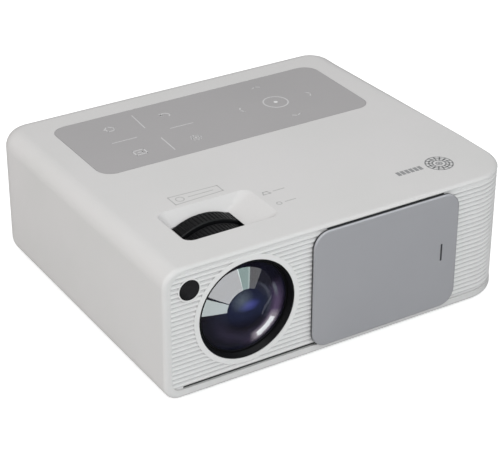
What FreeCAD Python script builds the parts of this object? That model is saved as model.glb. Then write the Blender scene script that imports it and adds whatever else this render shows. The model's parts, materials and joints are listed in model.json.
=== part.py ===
# Projector with a built-in disc drive: a wide low case, a lens at the front left with a sliding cover
# beside it, focus and keystone wheels in a scoop in the top, and a slim disc tray in the right-hand end.
# Millimetres. +X is to the right seen from the front, +Y runs from the front to the back, +Z is up.
# The origin is the middle of the whole thing at the level it stands on.
import FreeCAD, Part
import math
import os

Vec = FreeCAD.Vector

# ---- case ----
body_width = 270.0
body_depth = 240.0
body_height = 93.0
shell_wall = 2.0
left_top_round = 12.0      # long rounding along the top of the left side
left_bottom_round = 10.5
back_corner = 20.0         # upright corners at the back
corner_round = 31.0        # upright corner at the front right
rim_round = 3.0            # small rounding along the front and the right-hand edges
rim_runs_to = 60.0         # the small rounding reaches this far back on the right
round_runs_to = 30.0       # the large rounding reaches this far forward on the right
foot_stand = 2.5           # how far the rubber feet hold the case off the table
fit_gap = 0.2              # gap between neighbouring trim pieces
touch_gap = 0.05           # gap where one piece lies on another

# ---- ribbed front panel ----
lip_left = 5.0             # plain edge of the case left of the ribs
opening_top_round = 12.0   # rounded upper left corner of the ribbed panel
opening_low_round = 6.5    # rounded lower left corner of the ribbed panel
band_height = 6.2          # plain band of the case below the ribs
rib_start = 8.0            # height of the lowest rib above the underside
rib_top_margin = 1.75      # left between the highest rib and the top wall
rib_count = 25
rib_bulge = 1.0
rib_valley = 0.6
rib_set_back = 0.3         # crests lie this far behind the front of the case
panel_thickness = 3.1      # from the crests to the back of the panel
side_return = 48.0         # how far the ribs run back along the right-hand side
flange_width = 1.8         # hidden edge of the panel behind the case's lip
land_width = 3.6           # smooth ring round the lens
window_land = 0.9          # smooth ring round the receiver window

# ---- sliding lens cover ----
cover_proud = 2.6
cover_thickness = 2.35
cover_from_left = 107.0
cover_to_corner = 18.0     # from the cover to where the case's big corner starts
cover_bottom = 5.3
cover_below_top = 2.9
cover_corner = 11.5
cover_stop = 9.0           # from the case's left side to the open cover
cover_rim = 1.1
groove_height = 1.4        # slit under the ribs that the cover's hooks run in
groove_bottom = 6.3
groove_end_left = 13.5
groove_end_inset = 3.0     # the slit ends this far short of the shut cover's right-hand side
top_slit_depth = 1.2
hook_width = 12.0
hook_inset = 7.0
grip_height = 13.0         # upright thumb ridge on the cover
grip_width = 1.6
grip_depth = 0.9
grip_from_edge = 13.0

# ---- lens ----
lens_from_left = 59.6
lens_above_middle = 3.0    # the lens axis lies this far above half the case's height
trim_radius = 34.6
trim_rim = 1.0
trim_depth = 4.2
trim_flange = 2.9
trim_flange_thick = 1.4
barrel_front_radius = 32.0
lens_glass_radius = 31.0
lens_glass_edge = 2.6
lens_bulge = 3.0
barrel_radius = 27.0
barrel_wall = 2.2
barrel_front_length = 23.5
barrel_length = 88.0
inner_glass_radius = 19.0
inner_glass_depth = 23.0
inner_glass_bulge = 7.0
focus_stroke = 1.2         # how far the barrel moves each way
focus_turn = 60.0          # degrees each way
lug_radius = 1.5           # the barrel's two lugs run in the focus wheel's groove
lug_reach = 4.0
lug_room = 0.3             # from the lugs' ends to the bottom of the groove
run_gap = 0.05             # radial clearance of a running fit

# ---- wheels ----
wheel_gap = 1.2
focus_wheel_sunk = 4.2     # how far each wheel's rim lies below the top of the case
keystone_wheel_sunk = 2.2
focus_wheel_width = 14.0
focus_wheel_front = 31.0
keystone_wheel_width = 12.4
wheel_rim_share = 0.625    # part of the height from hub to rim that the thick rim takes
wheel_hub_wall = 1.6       # hub outside the groove for the barrel's lugs
wheel_web = 3.0
wheel_edge = 0.6
knurl_count = 90
knurl_radius = 0.8
keystone_turn = 40.0       # degrees, one way
scoop_left_reach = 28.1    # from the lens axis to the scoop's ends
scoop_right_reach = 41.4
scoop_front_slope = 4.0    # beyond the front and the back of the wheels
scoop_back_slope = 9.9
scoop_depth = 7.5
scoop_corner = 7.0
slot_corner = 2.0
slot_near_corner = 5.5     # front left corner of the slot
slot_drop = 2.4            # how far the slot is cleared below the floor of the scoop
scoop_wall = 1.6
slot_clearance = 1.0

# ---- remote-control receiver ----
window_from_left = 18.3
window_below_top = 16.5
window_radius = 6.9
window_thick = 2.0
receiver_board_size = 14.0
receiver_eye_radius = 2.6
receiver_eye_height = 0.9

# ---- control panel ----
keys_left = 28.7
keys_from_right = 25.6
keys_from_back = 26.7
keys_depth = 81.9
keys_corner = 11.0
keys_thick = 0.8
touch_board_thick = 1.2
touch_board_inset = 4.0

# ---- light engine ----
engine_width = 96.0
engine_height_room = 17.0  # the case is this much higher than the light engine
engine_wall = 2.0
engine_behind_wheels = 7.4
engine_to_back = 50.0
collar_wall = 2.4
collar_ahead = 1.0         # the collar starts this far in front of the focus wheel
collar_flange = 3.0
collar_flange_radius = 37.5
collar_headroom = 1.4      # the flange is cut flat this far below the scoop
screen_width = 82.0
screen_height_room = 20.0  # the light engine is this much higher than the screen
screen_thick = 2.2
screen_from_back = 60.0
cradle_rim = 3.0
cradle_thick = 4.0
cradle_pin_radius = 1.5
lens_sheet_thick = 2.0
lens_sheet_spacing = 9.0
condenser_room = 6.0       # between the condenser's rim and the outside of the light engine
condenser_bulge = 11.0
condenser_edge = 2.0
condenser_from_back = 30.0
led_plate = 40.0
led_plate_thick = 2.0
led_chip = 20.0
reflector_throat = 15.0
reflector_wall = 1.2
reflector_inset = 1.0      # the reflector's mouth is this much smaller than the condenser
sink_width = 64.0
sink_base = 4.0
fin_count = 14
fin_thick = 1.4
fan_size = 60.0
fan_depth = 15.0
fan_bore = 28.5
fan_hub = 12.0
blade_count = 7
blade_thick = 1.6
blade_gap = 1.2
push_rod_radius = 2.0
push_rod_inset = 1.5       # from the keystone wheel's rim in to the middle of the rod
push_gap = 0.35
ramp_rise = 2.9
ramp_width = 3.4

# ---- disc drive ----
drive_length = 127.0
drive_width = 128.0
drive_height = 12.7
drive_from_front = 64.0
drive_above_base = 44.0
drive_sheet = 0.8
bezel_thick = 3.0
bezel_gap = 0.3
tray_travel = 120.0
tray_height = 8.0
rail_height = 5.0
rail_thick = 1.6
rail_length = 112.0
disc_radius = 60.0
disc_gap = 0.8
disc_well = 2.2
spindle_from_bezel = 66.0
spindle_motor_radius = 13.0
turntable_radius = 13.5
turntable_thick = 1.2
hub_radius = 7.3
hub_height = 2.6
sled_travel = 31.0
sled_inner = 22.0          # pickup to spindle with the sled fully in
sled_length = 14.0
sled_height = 3.6
pickup_radius = 2.0
guide_rod_radius = 1.0
guide_spacing = 44.0
guide_ear = 1.5
feed_spacing = 26.0
screw_lead = 3.0
feed_motor_radius = 2.3
feed_motor_length = 10.0
button_width = 9.0
button_height = 4.0
button_travel = 0.8
button_from_end = 18.0

# ---- boards and sockets ----
board_thick = 1.6
main_board_above_base = 60.0
main_board_width = 110.0
main_board_depth = 92.0
main_board_gap = 1.0       # from the light engine to the board
board_post_inset = 6.0
board_second_post = 61.0   # from the board's front edge
bracket_inset = 5.0        # from the right-hand end of the disc drive to its steel table
bracket_sheet = 1.2
bracket_border = 25.0
bracket_corner = 8.0
bracket_leg = 8.0
bracket_foot = 7.0
board_post_radius = 2.5
boss_to_board = 1.8
power_board_above_base = 10.0
power_board_width = 114.0
power_board_depth = 118.0
post_radius = 3.5
screw_radius = 1.2
socket_face_gap = 0.3
rear_open_left = 20.5
rear_open_right = 20.5
rear_open_bottom = 13.2
rear_open_top = 12.4
rear_flange = 2.8
rear_flange_thick = 1.4
vent_width = 3.0
vent_pitch = 6.0
hdmi_width = 15.0
hdmi_height = 6.4
usb_width = 14.4
usb_height = 7.6
socket_depth = 14.0
socket_wall = 0.6
jack_size = 8.0
jack_bore = 1.8
inlet_from_right = 88.0
inlet_above_base = 24.0
inlet_width = 24.0
inlet_height = 17.0
inlet_depth = 18.0
inlet_mouth_width = 17.6
inlet_mouth_height = 9.0
inlet_mouth_depth = 12.0
inlet_pin_spacing = 8.6
inlet_pin_radius = 1.2
speaker_radius = 19.0
speaker_depth = 16.0
speaker_ring = 3.0
speaker_lip = 2.4
speaker_step = 1.0
speaker_basket = 8.0
speaker_wall = 1.4
magnet_radius = 12.0
voice_coil_radius = 6.0
speaker_hole_radius = 1.0
speaker_hole_pitch = 3.4
speaker_from_right = 62.0
speaker_from_front = 34.0
side_vent_count = 5
side_vent_height = 20.0
side_vent_from_back = 26.0
side_vent_above_base = 18.0

# ---- underside ----
bottom_open_side = 14.0
bottom_open_front = 12.0
bottom_thick = 2.8
foot_radius = 7.0
foot_inset_x = 32.0
foot_inset_y = 30.0
tripod_radius = 3.175
tripod_wall = 1.6
tripod_depth = 9.0
tripod_boss = 7.0
ceiling_spacing = 75.0
ceiling_insert_radius = 2.0
ceiling_insert_depth = 6.0
ceiling_insert_wall = 1.6
leveller_radius = 9.0
leveller_travel = 10.0
leveller_screw_radius = 3.0
leveller_screw_length = 15.0
leveller_from_front = 22.0
boss_radius = 4.0
screw_head_radius = 2.6
screw_head_height = 1.4
screw_length = 9.0

# ---- sizes that follow from others ----
cover_width = body_width - corner_round - cover_to_corner - cover_from_left
cover_height = body_height - cover_bottom - cover_below_top
cover_travel = cover_from_left - cover_stop
lens_above_base = body_height / 2 + lens_above_middle
rib_pitch = (body_height - shell_wall - rib_start - rib_top_margin) / rib_count
focus_wheel_radius = body_height - lens_above_base - focus_wheel_sunk
keystone_wheel_radius = body_height - lens_above_base - keystone_wheel_sunk
wheels_back = focus_wheel_front + focus_wheel_width + wheel_gap + keystone_wheel_width
scoop_floor = body_height - scoop_depth - scoop_wall - lens_above_base
engine_height = body_height - engine_height_room
engine_front = wheels_back + engine_behind_wheels
collar_front = focus_wheel_front - collar_ahead
collar_flat = scoop_floor - collar_headroom
screen_height = engine_height - screen_height_room
condenser_radius = engine_height / 2 - condenser_room
reflector_radius = condenser_radius - reflector_inset
push_rod_side = (keystone_wheel_radius - push_rod_inset) * math.sqrt(0.5)

# ---- where the main things are ----
left_x = -body_width / 2
right_x = body_width / 2
front_y = (cover_proud - body_depth) / 2
back_y = front_y + body_depth
base_z = foot_stand
top_z = base_z + body_height
floor_z = base_z + bottom_thick
ceiling_z = top_z - shell_wall
lens_x = left_x + lens_from_left
lens_z = base_z + lens_above_base
panel_back_y = front_y + rib_set_back + panel_thickness
collar_front_y = front_y + collar_front
engine_front_y = front_y + engine_front
engine_back_y = back_y - engine_to_back
engine_left_x = lens_x - engine_width / 2
engine_right_x = lens_x + engine_width / 2
engine_low_z = lens_z - engine_height / 2
engine_high_z = lens_z + engine_height / 2
drive_right_x = right_x - bezel_thick
drive_left_x = drive_right_x - drive_length
drive_front_y = front_y + drive_from_front
drive_back_y = drive_front_y + drive_width
drive_low_z = base_z + drive_above_base
drive_high_z = drive_low_z + drive_height
spindle_x = right_x - spindle_from_bezel
groove_right_x = left_x + cover_from_left + cover_width - groove_end_inset
top_slit_right_x = left_x + cover_from_left + cover_width - cover_corner + fit_gap
top_slit_z = base_z + rib_start + rib_count * rib_pitch + fit_gap
window_x = left_x + window_from_left
window_z = top_z - window_below_top
inlet_x = right_x - inlet_from_right
inlet_z = base_z + inlet_above_base
spindle_y = (drive_front_y + drive_back_y) / 2


def block(x0, x1, y0, y1, z0, z1):
    return Part.makeBox(x1 - x0, y1 - y0, z1 - z0, Vec(x0, y0, z0))


def soft_block(x0, x1, y0, y1, z0, z1, radius, along):
    """A block whose four edges along one direction ("x", "y" or "z") are rounded."""
    solid = block(x0, x1, y0, y1, z0, z1)
    way = {"x": Vec(1, 0, 0), "y": Vec(0, 1, 0), "z": Vec(0, 0, 1)}[along]
    edges = [e for e in solid.Edges if abs(e.tangentAt(e.FirstParameter).dot(way)) > 0.99]
    return solid.makeFillet(radius, edges)


def rod_x(y, z, radius, x0, x1):
    return Part.makeCylinder(radius, x1 - x0, Vec(x0, y, z), Vec(1, 0, 0))


def rod_y(x, z, radius, y0, y1):
    return Part.makeCylinder(radius, y1 - y0, Vec(x, y0, z), Vec(0, 1, 0))


def rod_z(x, y, radius, z0, z1):
    return Part.makeCylinder(radius, z1 - z0, Vec(x, y, z0), Vec(0, 0, 1))


def tube_y(x, z, outer, inner, y0, y1):
    return rod_y(x, z, outer, y0, y1).cut(rod_y(x, z, inner, y0 - 1, y1 + 1))


def turned_y(x, z, points):
    """A solid of revolution about an axis along Y; points are (radius, y)."""
    corners = [Vec(x + r, y, z) for r, y in points]
    face = Part.Face(Part.makePolygon(corners + [corners[0]]))
    return face.revolve(Vec(x, 0, z), Vec(0, 1, 0), 360)


def dome_y(x, z, radius, bulge, edge, y_edge, side):
    """A plano-convex glass: its flat back and cylindrical edge behind y_edge, its dome to one side."""
    ball_radius = (radius ** 2 + bulge ** 2) / (2 * bulge)
    centre_y = y_edge + side * (bulge - ball_radius)
    ball = Part.makeSphere(ball_radius, Vec(x, centre_y, z))
    y_far = y_edge - side * edge
    y_tip = y_edge + side * (bulge + 1)
    reach = rod_y(x, z, radius, min(y_far, y_tip), max(y_far, y_tip))
    return reach.common(ball.fuse(rod_y(x, z, radius, min(y_far, y_edge), max(y_far, y_edge))))


def joined(pieces):
    solid = pieces[0]
    if len(pieces) > 1:
        solid = solid.multiFuse(pieces[1:])
    return solid.removeSplitter()


def case_form(inset):
    """The outside of the case drawn in by a distance: back, middle and front joined into one solid.

    The rounding of the back and left runs out along the right-hand edges in the middle stretch.
    """
    x0, x1 = left_x + inset, right_x - inset
    y0, y1 = front_y + inset, back_y - inset
    z0, z1 = base_z + inset, top_z - inset
    y_low, y_high = front_y + rim_runs_to, back_y - round_runs_to
    upper, lower, rim = left_top_round - inset, left_bottom_round - inset, rim_round - inset

    def near(a, b):
        return abs(a - b) < 1e-4

    def rounded(solid, radius, test):
        return solid.makeFillet(radius, [e for e in solid.Edges if test(e.BoundBox)])

    def left_edge(z):
        return lambda b: near(b.XMax, x0) and near(b.ZMin, z) and near(b.ZMax, z)

    back = block(x0, x1, y_high, y1, z0, z1)
    back = rounded(back, back_corner - inset, lambda b: near(b.YMin, y1) and near(b.XMin, b.XMax))
    back = rounded(rounded(back, upper, left_edge(z1)), lower, left_edge(z0))

    middle = block(x0, x1, y_low, y_high, z0, z1)
    middle = rounded(rounded(middle, upper, left_edge(z1)), lower, left_edge(z0))
    middle = middle.cut(run_out(x1, z1, -1, rim, upper, y_low, y_high))
    middle = middle.cut(run_out(x1, z0, 1, rim, lower, y_low, y_high))

    front = block(x0, x1, y0, y_low, z0, z1)
    front = rounded(rounded(front, upper, left_edge(z1)), lower, left_edge(z0))
    front = rounded(front, corner_round - inset, lambda b: near(b.XMin, x1) and near(b.YMax, y0))
    front = rounded(front, rim, lambda b: near(b.YMax, y0) and near(b.ZMin, z1) and b.XLength > body_width / 2)
    return joined([front, middle, back])


def run_out(x, z, side, small, large, y_small, y_large):
    """What a rounding along a right-hand edge takes off, its radius growing from one end to the other."""
    def corner(radius, y):
        near_x, near_z = x - radius, z + side * radius
        k = radius * (1 - math.sqrt(0.5))
        edges = [
            Part.LineSegment(Vec(x + 1, y, z - side), Vec(near_x, y, z - side)),
            Part.LineSegment(Vec(near_x, y, z - side), Vec(near_x, y, z)),
            Part.Arc(Vec(near_x, y, z), Vec(x - k, y, z + side * k), Vec(x, y, near_z)),
            Part.LineSegment(Vec(x, y, near_z), Vec(x + 1, y, near_z)),
            Part.LineSegment(Vec(x + 1, y, near_z), Vec(x + 1, y, z - side)),
        ]
        return Part.Wire([e.toShape() for e in edges])

    return Part.makeLoft([corner(small, y_small), corner(large, y_large)], True, True)


def scoop_cut(grow, deeper):
    """The tapering scoop over the wheels, from its rounded mouth down to the slot."""
    def slot_at(height):
        half = math.sqrt(keystone_wheel_radius ** 2 - height ** 2) + slot_clearance
        return (lens_x - half, lens_x + half, front_y + focus_wheel_front - slot_clearance,
                wheel_back_y() + slot_clearance)

    mouth = (lens_x - scoop_left_reach, lens_x + scoop_right_reach,
             front_y + focus_wheel_front - scoop_front_slope, wheel_back_y() + scoop_back_slope)

    def outline(rect, radius, near_left, z):
        x0, x1, y0, y1 = rect
        x0, x1, y0, y1 = x0 - grow, x1 + grow, y0 - grow, y1 + grow
        r, big = radius + grow, near_left + grow
        k, far = r * (1 - math.sqrt(0.5)), big * (1 - math.sqrt(0.5))
        line = Part.LineSegment
        arc = Part.Arc
        edges = [
            line(Vec(x0 + big, y0, z), Vec(x1 - r, y0, z)),
            arc(Vec(x1 - r, y0, z), Vec(x1 - k, y0 + k, z), Vec(x1, y0 + r, z)),
            line(Vec(x1, y0 + r, z), Vec(x1, y1 - r, z)),
            arc(Vec(x1, y1 - r, z), Vec(x1 - k, y1 - k, z), Vec(x1 - r, y1, z)),
            line(Vec(x1 - r, y1, z), Vec(x0 + r, y1, z)),
            arc(Vec(x0 + r, y1, z), Vec(x0 + k, y1 - k, z), Vec(x0, y1 - r, z)),
            line(Vec(x0, y1 - r, z), Vec(x0, y0 + big, z)),
            arc(Vec(x0, y0 + big, z), Vec(x0 + far, y0 + far, z), Vec(x0 + big, y0, z)),
        ]
        return Part.Wire([e.toShape() for e in edges])

    low = top_z - scoop_depth
    foot = outline(slot_at(scoop_floor + scoop_wall), slot_corner, slot_near_corner, low)
    hopper = Part.makeLoft([outline(mouth, scoop_corner, scoop_corner, top_z), foot], True, True)
    if deeper:
        under = outline(slot_at(scoop_floor), slot_corner, slot_near_corner, low - scoop_wall)
        hopper = hopper.fuse(Part.makeLoft([foot, under], True, True))
        hopper = hopper.fuse(Part.Face(under).extrude(Vec(0, 0, -slot_drop)))
    return hopper


def wheel_back_y():
    return front_y + wheels_back


def plan_form(inset, z0, z1):
    """The case seen from above, drawn in by a distance, with only its big front corner rounded."""
    solid = block(left_x + inset, right_x - inset, front_y + inset, back_y - inset, z0, z1)
    corner = [e for e in solid.Edges if e.BoundBox.ZLength > 1 and e.BoundBox.XMin > 0 and e.BoundBox.YMax < 0]
    return solid.makeFillet(corner_round - inset, corner)


def boss_places():
    return [
        (left_x + 19.5, front_y + 20.0),
        (left_x + 19.5, back_y - 19.0),
        (main_board_area()[0] - boss_radius - boss_to_board, back_y - 19.0),
        (right_x - 24.0, front_y + 30.0),
        (right_x - 20.0, back_y - 19.0),
    ]


def engine_post_places():
    return [(x, y) for x in (engine_left_x + 8, engine_right_x - 8)
            for y in (engine_front_y + 24, engine_back_y - 10)]


def board_post_places():
    """Two posts in the gap between light engine and disc drive, and one behind the drive."""
    x0, x1, y0, y1 = main_board_area()
    between = (engine_right_x + drive_left_x) / 2
    return [
        (between, y0 + board_post_inset),
        (between, y0 + board_second_post),
        (x1 - board_post_inset, drive_back_y + board_post_inset),
    ]


def tray_opening(gap):
    return block(right_x - shell_wall - 3, right_x + 1, drive_front_y - gap, drive_back_y + gap,
                 drive_low_z - gap, drive_high_z + gap)


def speaker_place():
    return right_x - speaker_from_right, front_y + speaker_from_front


def speaker_holes():
    """Rings of sound holes through the bottom, under the loudspeaker."""
    x0, y0 = speaker_place()
    holes = []
    for ring in range(int((speaker_radius - speaker_lip) / speaker_hole_pitch) + 1):
        count = max(1, 6 * ring)
        for k in range(count):
            turn = 2 * math.pi * k / count
            reach = ring * speaker_hole_pitch
            holes.append(rod_z(x0 + reach * math.cos(turn), y0 + reach * math.sin(turn), speaker_hole_radius,
                               base_z - 1, base_z + bottom_thick + 1))
    return Part.makeCompound(holes)


def side_vents():
    """Upright air slots in the right-hand wall, behind the disc drive."""
    z0 = base_z + side_vent_above_base
    slots = []
    for k in range(side_vent_count):
        y = back_y - side_vent_from_back - k * vent_pitch
        slots.append(soft_block(right_x - shell_wall - 1, right_x + 1, y - vent_width / 2, y + vent_width / 2,
                                z0, z0 + side_vent_height, vent_width * 0.45, "x"))
    return Part.makeCompound(slots)


def front_opening(grow, y0, y1):
    """Opening of the case for the ribbed panel, rounded at its two left-hand corners."""
    x0, x1 = left_x + lip_left - grow, right_x + 1
    z0, z1 = base_z + band_height - grow, ceiling_z + grow
    high, low = opening_top_round + grow, opening_low_round + grow
    k = 1 - math.sqrt(0.5)
    line, arc = Part.LineSegment, Part.Arc
    edges = [
        line(Vec(x1, y0, z0), Vec(x0 + low, y0, z0)),
        arc(Vec(x0 + low, y0, z0), Vec(x0 + low * k, y0, z0 + low * k), Vec(x0, y0, z0 + low)),
        line(Vec(x0, y0, z0 + low), Vec(x0, y0, z1 - high)),
        arc(Vec(x0, y0, z1 - high), Vec(x0 + high * k, y0, z1 - high * k), Vec(x0 + high, y0, z1)),
        line(Vec(x0 + high, y0, z1), Vec(x1, y0, z1)),
        line(Vec(x1, y0, z1), Vec(x1, y0, z0)),
    ]
    return Part.Face(Part.Wire([e.toShape() for e in edges])).extrude(Vec(0, y1 - y0, 0))


def rear_opening(grow, y0, y1):
    return soft_block(left_x + rear_open_left - grow, right_x - rear_open_right + grow, y0, y1,
                      base_z + rear_open_bottom - grow, top_z - rear_open_top + grow, 4.0, "y")


# ---- case pieces ----

def housing():
    shell = case_form(0).cut(case_form(shell_wall))
    scoop_shell = scoop_cut(scoop_wall, False)
    lower = scoop_shell.copy()
    lower.translate(Vec(0, 0, -scoop_wall))
    under_top = block(left_x, right_x, front_y, back_y, base_z, ceiling_z + shell_wall / 2)
    adds = [scoop_shell.fuse(lower).common(under_top)]
    for x, y in boss_places():
        adds.append(rod_z(x, y, boss_radius, base_z + bottom_thick, ceiling_z + shell_wall / 2))
    cuts = [
        front_opening(0, front_y - 1, front_y + side_return),
        soft_block(left_x + bottom_open_side, right_x - bottom_open_side, front_y + bottom_open_front,
                   back_y - bottom_open_front, base_z - 1, base_z + shell_wall + 1, 4.0, "z"),
        rear_opening(0, back_y - shell_wall - 1, back_y + 1),
        tray_opening(bezel_gap),
        side_vents(),
        keys_plate(fit_gap, top_z - keys_thick, top_z + 1),
    ]
    for cut in cuts:
        shell = shell.cut(cut)
    solid = joined([shell] + adds).cut(scoop_cut(0, True))
    pilots = [rod_z(x, y, screw_radius + run_gap, base_z, base_z + bottom_thick + screw_length)
              for x, y in boss_places()]
    return solid.cut(Part.makeCompound(pilots))


def rib_face():
    """Upright section of the front panel, drawn in the plane x = 0 with its front towards -y."""
    crest = front_y + rib_set_back
    valley = crest + rib_bulge
    back = crest + panel_thickness
    z_low = base_z + band_height + fit_gap / 2
    z_high = ceiling_z - fit_gap / 2
    edges = [Part.LineSegment(Vec(0, back, z_low), Vec(0, valley, z_low))]
    here = Vec(0, valley, z_low)
    for k in range(rib_count):
        z0 = base_z + rib_start + k * rib_pitch
        z1 = z0 + rib_pitch - rib_valley
        start, tip, end = Vec(0, valley, z0), Vec(0, crest, (z0 + z1) / 2), Vec(0, valley, z1)
        edges.append(Part.LineSegment(here, start))
        edges.append(Part.Arc(start, tip, end))
        here = end
    edges.append(Part.LineSegment(here, Vec(0, valley, z_high)))
    edges.append(Part.LineSegment(Vec(0, valley, z_high), Vec(0, back, z_high)))
    edges.append(Part.LineSegment(Vec(0, back, z_high), Vec(0, back, z_low)))
    return Part.Face(Part.Wire([e.toShape() for e in edges]))


def front_panel():
    turn_x, turn_y = right_x - corner_round, front_y + corner_round
    start_x = left_x + lip_left + fit_gap
    flat = rib_face()
    flat.translate(Vec(start_x, 0, 0))
    run = flat.extrude(Vec(turn_x - start_x, 0, 0))
    bend_face = rib_face()
    bend_face.translate(Vec(turn_x, 0, 0))
    bend = bend_face.revolve(Vec(turn_x, turn_y, 0), Vec(0, 0, 1), 90)
    side_face = bend_face.copy()
    side_face.rotate(Vec(turn_x, turn_y, 0), Vec(0, 0, 1), 90)
    side = side_face.extrude(Vec(0, side_return - corner_round - fit_gap, 0))
    behind = shell_wall + touch_gap
    z_low, z_high = base_z + band_height - flange_width, ceiling_z - rim_round / 2
    ring = plan_form(behind, z_low, z_high).cut(plan_form(rib_set_back + panel_thickness, z_low - 1, z_high + 1))
    reach = block(left_x + lip_left - flange_width, right_x, front_y, panel_back_y, z_low, z_high).fuse(
        block(0, right_x, front_y, front_y + side_return + flange_width, z_low, z_high))
    crest = front_y + rib_set_back
    lens_land = rod_y(lens_x, lens_z, trim_radius + fit_gap + land_width, crest, panel_back_y).common(
        block(left_x, right_x, front_y, panel_back_y, base_z + band_height + fit_gap / 2, ceiling_z - fit_gap / 2))
    window_ring = rod_y(window_x, window_z, window_radius + fit_gap + window_land, crest, panel_back_y)
    face = joined([run, bend, side, lens_land, window_ring]).common(
        front_opening(-fit_gap / 2, front_y - 1, front_y + side_return + 1))
    solid = joined([face, ring.common(reach).common(case_form(behind))])
    cuts = [
        rod_y(lens_x, lens_z, trim_radius + fit_gap, front_y - 1, panel_back_y + 1),
        rod_y(window_x, window_z, window_radius + fit_gap, front_y - 1, crest + window_thick),
        rod_y(window_x, window_z, window_radius - 1.2, front_y - 1, panel_back_y + 1),
        soft_block(left_x + groove_end_left, groove_right_x, front_y - 1, panel_back_y + 1,
                   base_z + groove_bottom, base_z + groove_bottom + groove_height, groove_height * 0.45, "y"),
        block(left_x + cover_stop + cover_corner - fit_gap, top_slit_right_x, front_y - 1,
              crest + top_slit_depth, top_slit_z, ceiling_z),
    ]
    for cut in cuts:
        solid = solid.cut(cut)
    return solid


def rear_vents():
    """Upright slots behind the fan."""
    slots = []
    count = int(fan_size / vent_pitch)
    for k in range(count):
        x = lens_x + (k - (count - 1) / 2) * vent_pitch
        half = math.sqrt(max(fan_bore ** 2 - (x - lens_x) ** 2, 40.0)) - 1
        slots.append(block(x - vent_width / 2, x + vent_width / 2, back_y - 6, back_y + 1,
                           lens_z - half, lens_z + half))
    return Part.makeCompound(slots)


def fan_screw_places():
    reach = fan_size / 2 - 5.0
    return [(lens_x + a * reach, lens_z + b * reach) for a in (-1, 1) for b in (-1, 1)]


def rear_panel():
    plate = rear_opening(-fit_gap, back_y - shell_wall, back_y)
    inner = back_y - shell_wall - touch_gap
    frame = rear_opening(rear_flange, inner - rear_flange_thick, inner).cut(
        rear_opening(-rear_flange, inner - rear_flange_thick - 1, inner + 1)).common(
        case_form(shell_wall + touch_gap))
    bridge = rear_opening(-fit_gap, inner, back_y - shell_wall).cut(
        rear_opening(-rear_flange, inner - 1, back_y))
    solid = joined([plate, bridge, frame]).cut(rear_vents())
    cuts = []
    for x, z in fan_screw_places():
        cuts.append(rod_y(x, z, screw_radius + fit_gap, back_y - 8, back_y + 1))
        cuts.append(rod_y(x, z, screw_head_radius + fit_gap, back_y - screw_head_height, back_y + 1))
    for x, z, width, height in socket_windows():
        cuts.append(block(x - width / 2 - fit_gap, x + width / 2 + fit_gap, back_y - 8, back_y + 1,
                          z - height / 2 - fit_gap, z + height / 2 + fit_gap))
    return solid.cut(Part.makeCompound(cuts))


def bottom_cover():
    plate = soft_block(left_x + bottom_open_side + fit_gap, right_x - bottom_open_side - fit_gap,
                       front_y + bottom_open_front + fit_gap, back_y - bottom_open_front - fit_gap,
                       base_z, base_z + bottom_thick, 4.0, "z")
    floor = base_z + bottom_thick
    adds = [rod_z(x, y, post_radius, floor - 0.5, engine_low_z) for x, y in engine_post_places()]
    adds += [rod_z(x, y, board_post_radius, floor - 0.5, base_z + main_board_above_base)
             for x, y in board_post_places()]
    adds += [rod_z(x, y, post_radius, floor - 0.5, base_z + power_board_above_base)
             for x, y in power_post_places()]
    adds.append(rod_z(0, 0, tripod_boss, floor - 0.5, base_z + tripod_depth + 2))
    adds += [rod_z(x, y, ceiling_insert_radius + 2 * ceiling_insert_wall, floor - 0.5,
                   base_z + ceiling_insert_depth + 1.2) for x, y in ceiling_places()]
    lev_x, lev_y = leveller_place()
    adds.append(rod_z(lev_x, lev_y, leveller_screw_radius + 3, floor - 0.5, base_z + leveller_screw_length - 2))
    solid = joined([plate] + adds)
    cuts = [rod_z(0, 0, tripod_radius + tripod_wall, base_z - 1, base_z + tripod_depth),
            rod_z(lev_x, lev_y, leveller_screw_radius + run_gap, base_z - 1, base_z + leveller_screw_length + 1)]
    cuts += [rod_z(x, y, ceiling_insert_radius + ceiling_insert_wall, base_z - 1, base_z + ceiling_insert_depth)
             for x, y in ceiling_places()]
    for x, y in boss_places() + engine_post_places():
        cuts.append(rod_z(x, y, screw_radius + fit_gap, base_z - 1, engine_low_z + 1))
        cuts.append(rod_z(x, y, screw_head_radius + fit_gap, base_z - 1, base_z + screw_head_height))
    for x, y in board_post_places():
        cuts.append(rod_z(x, y, screw_radius + run_gap, base_z + main_board_above_base - 8,
                          base_z + main_board_above_base + 1))
    solid = solid.cut(Part.makeCompound(cuts))
    return solid.cut(bottom_vents()).cut(speaker_holes())


def bottom_vents():
    """Two fields of air slots: one under the boards, one under the light engine."""
    slots = []
    for x_mid, y_mid, across in ((right_x - 66.0, 0.0, 9), (lens_x, 6.0, 7)):
        for k in range(across):
            y = y_mid + (k - (across - 1) / 2) * vent_pitch
            slots.append(soft_block(x_mid - 22, x_mid + 22, y - vent_width / 2, y + vent_width / 2,
                                    base_z - 1, base_z + bottom_thick + 0.2, vent_width * 0.45, "z"))
    return Part.makeCompound(slots)


def ceiling_places():
    half = ceiling_spacing / 2
    return [(a * half, b * half) for a in (-1, 1) for b in (-1, 1)]


def leveller_place():
    return 0.0, front_y + leveller_from_front


def foot_places():
    return [(a * (body_width / 2 - foot_inset_x), b) for a in (-1, 1)
            for b in (front_y + foot_inset_y, back_y - foot_inset_y)]


def keys_plate(grow, z0, z1):
    y1 = back_y - keys_from_back
    return soft_block(left_x + keys_left - grow, right_x - keys_from_right + grow, y1 - keys_depth - grow,
                      y1 + grow, z0, z1, keys_corner + grow, "z")


def control_panel():
    return keys_plate(0, top_z - keys_thick, top_z)


def touch_board():
    return keys_plate(-touch_board_inset, ceiling_z - touch_board_thick, ceiling_z)


# ---- sliding lens cover ----

def cover_hook_starts():
    left = left_x + cover_from_left
    return [left + hook_inset, left + cover_width - hook_inset - hook_width]


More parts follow.
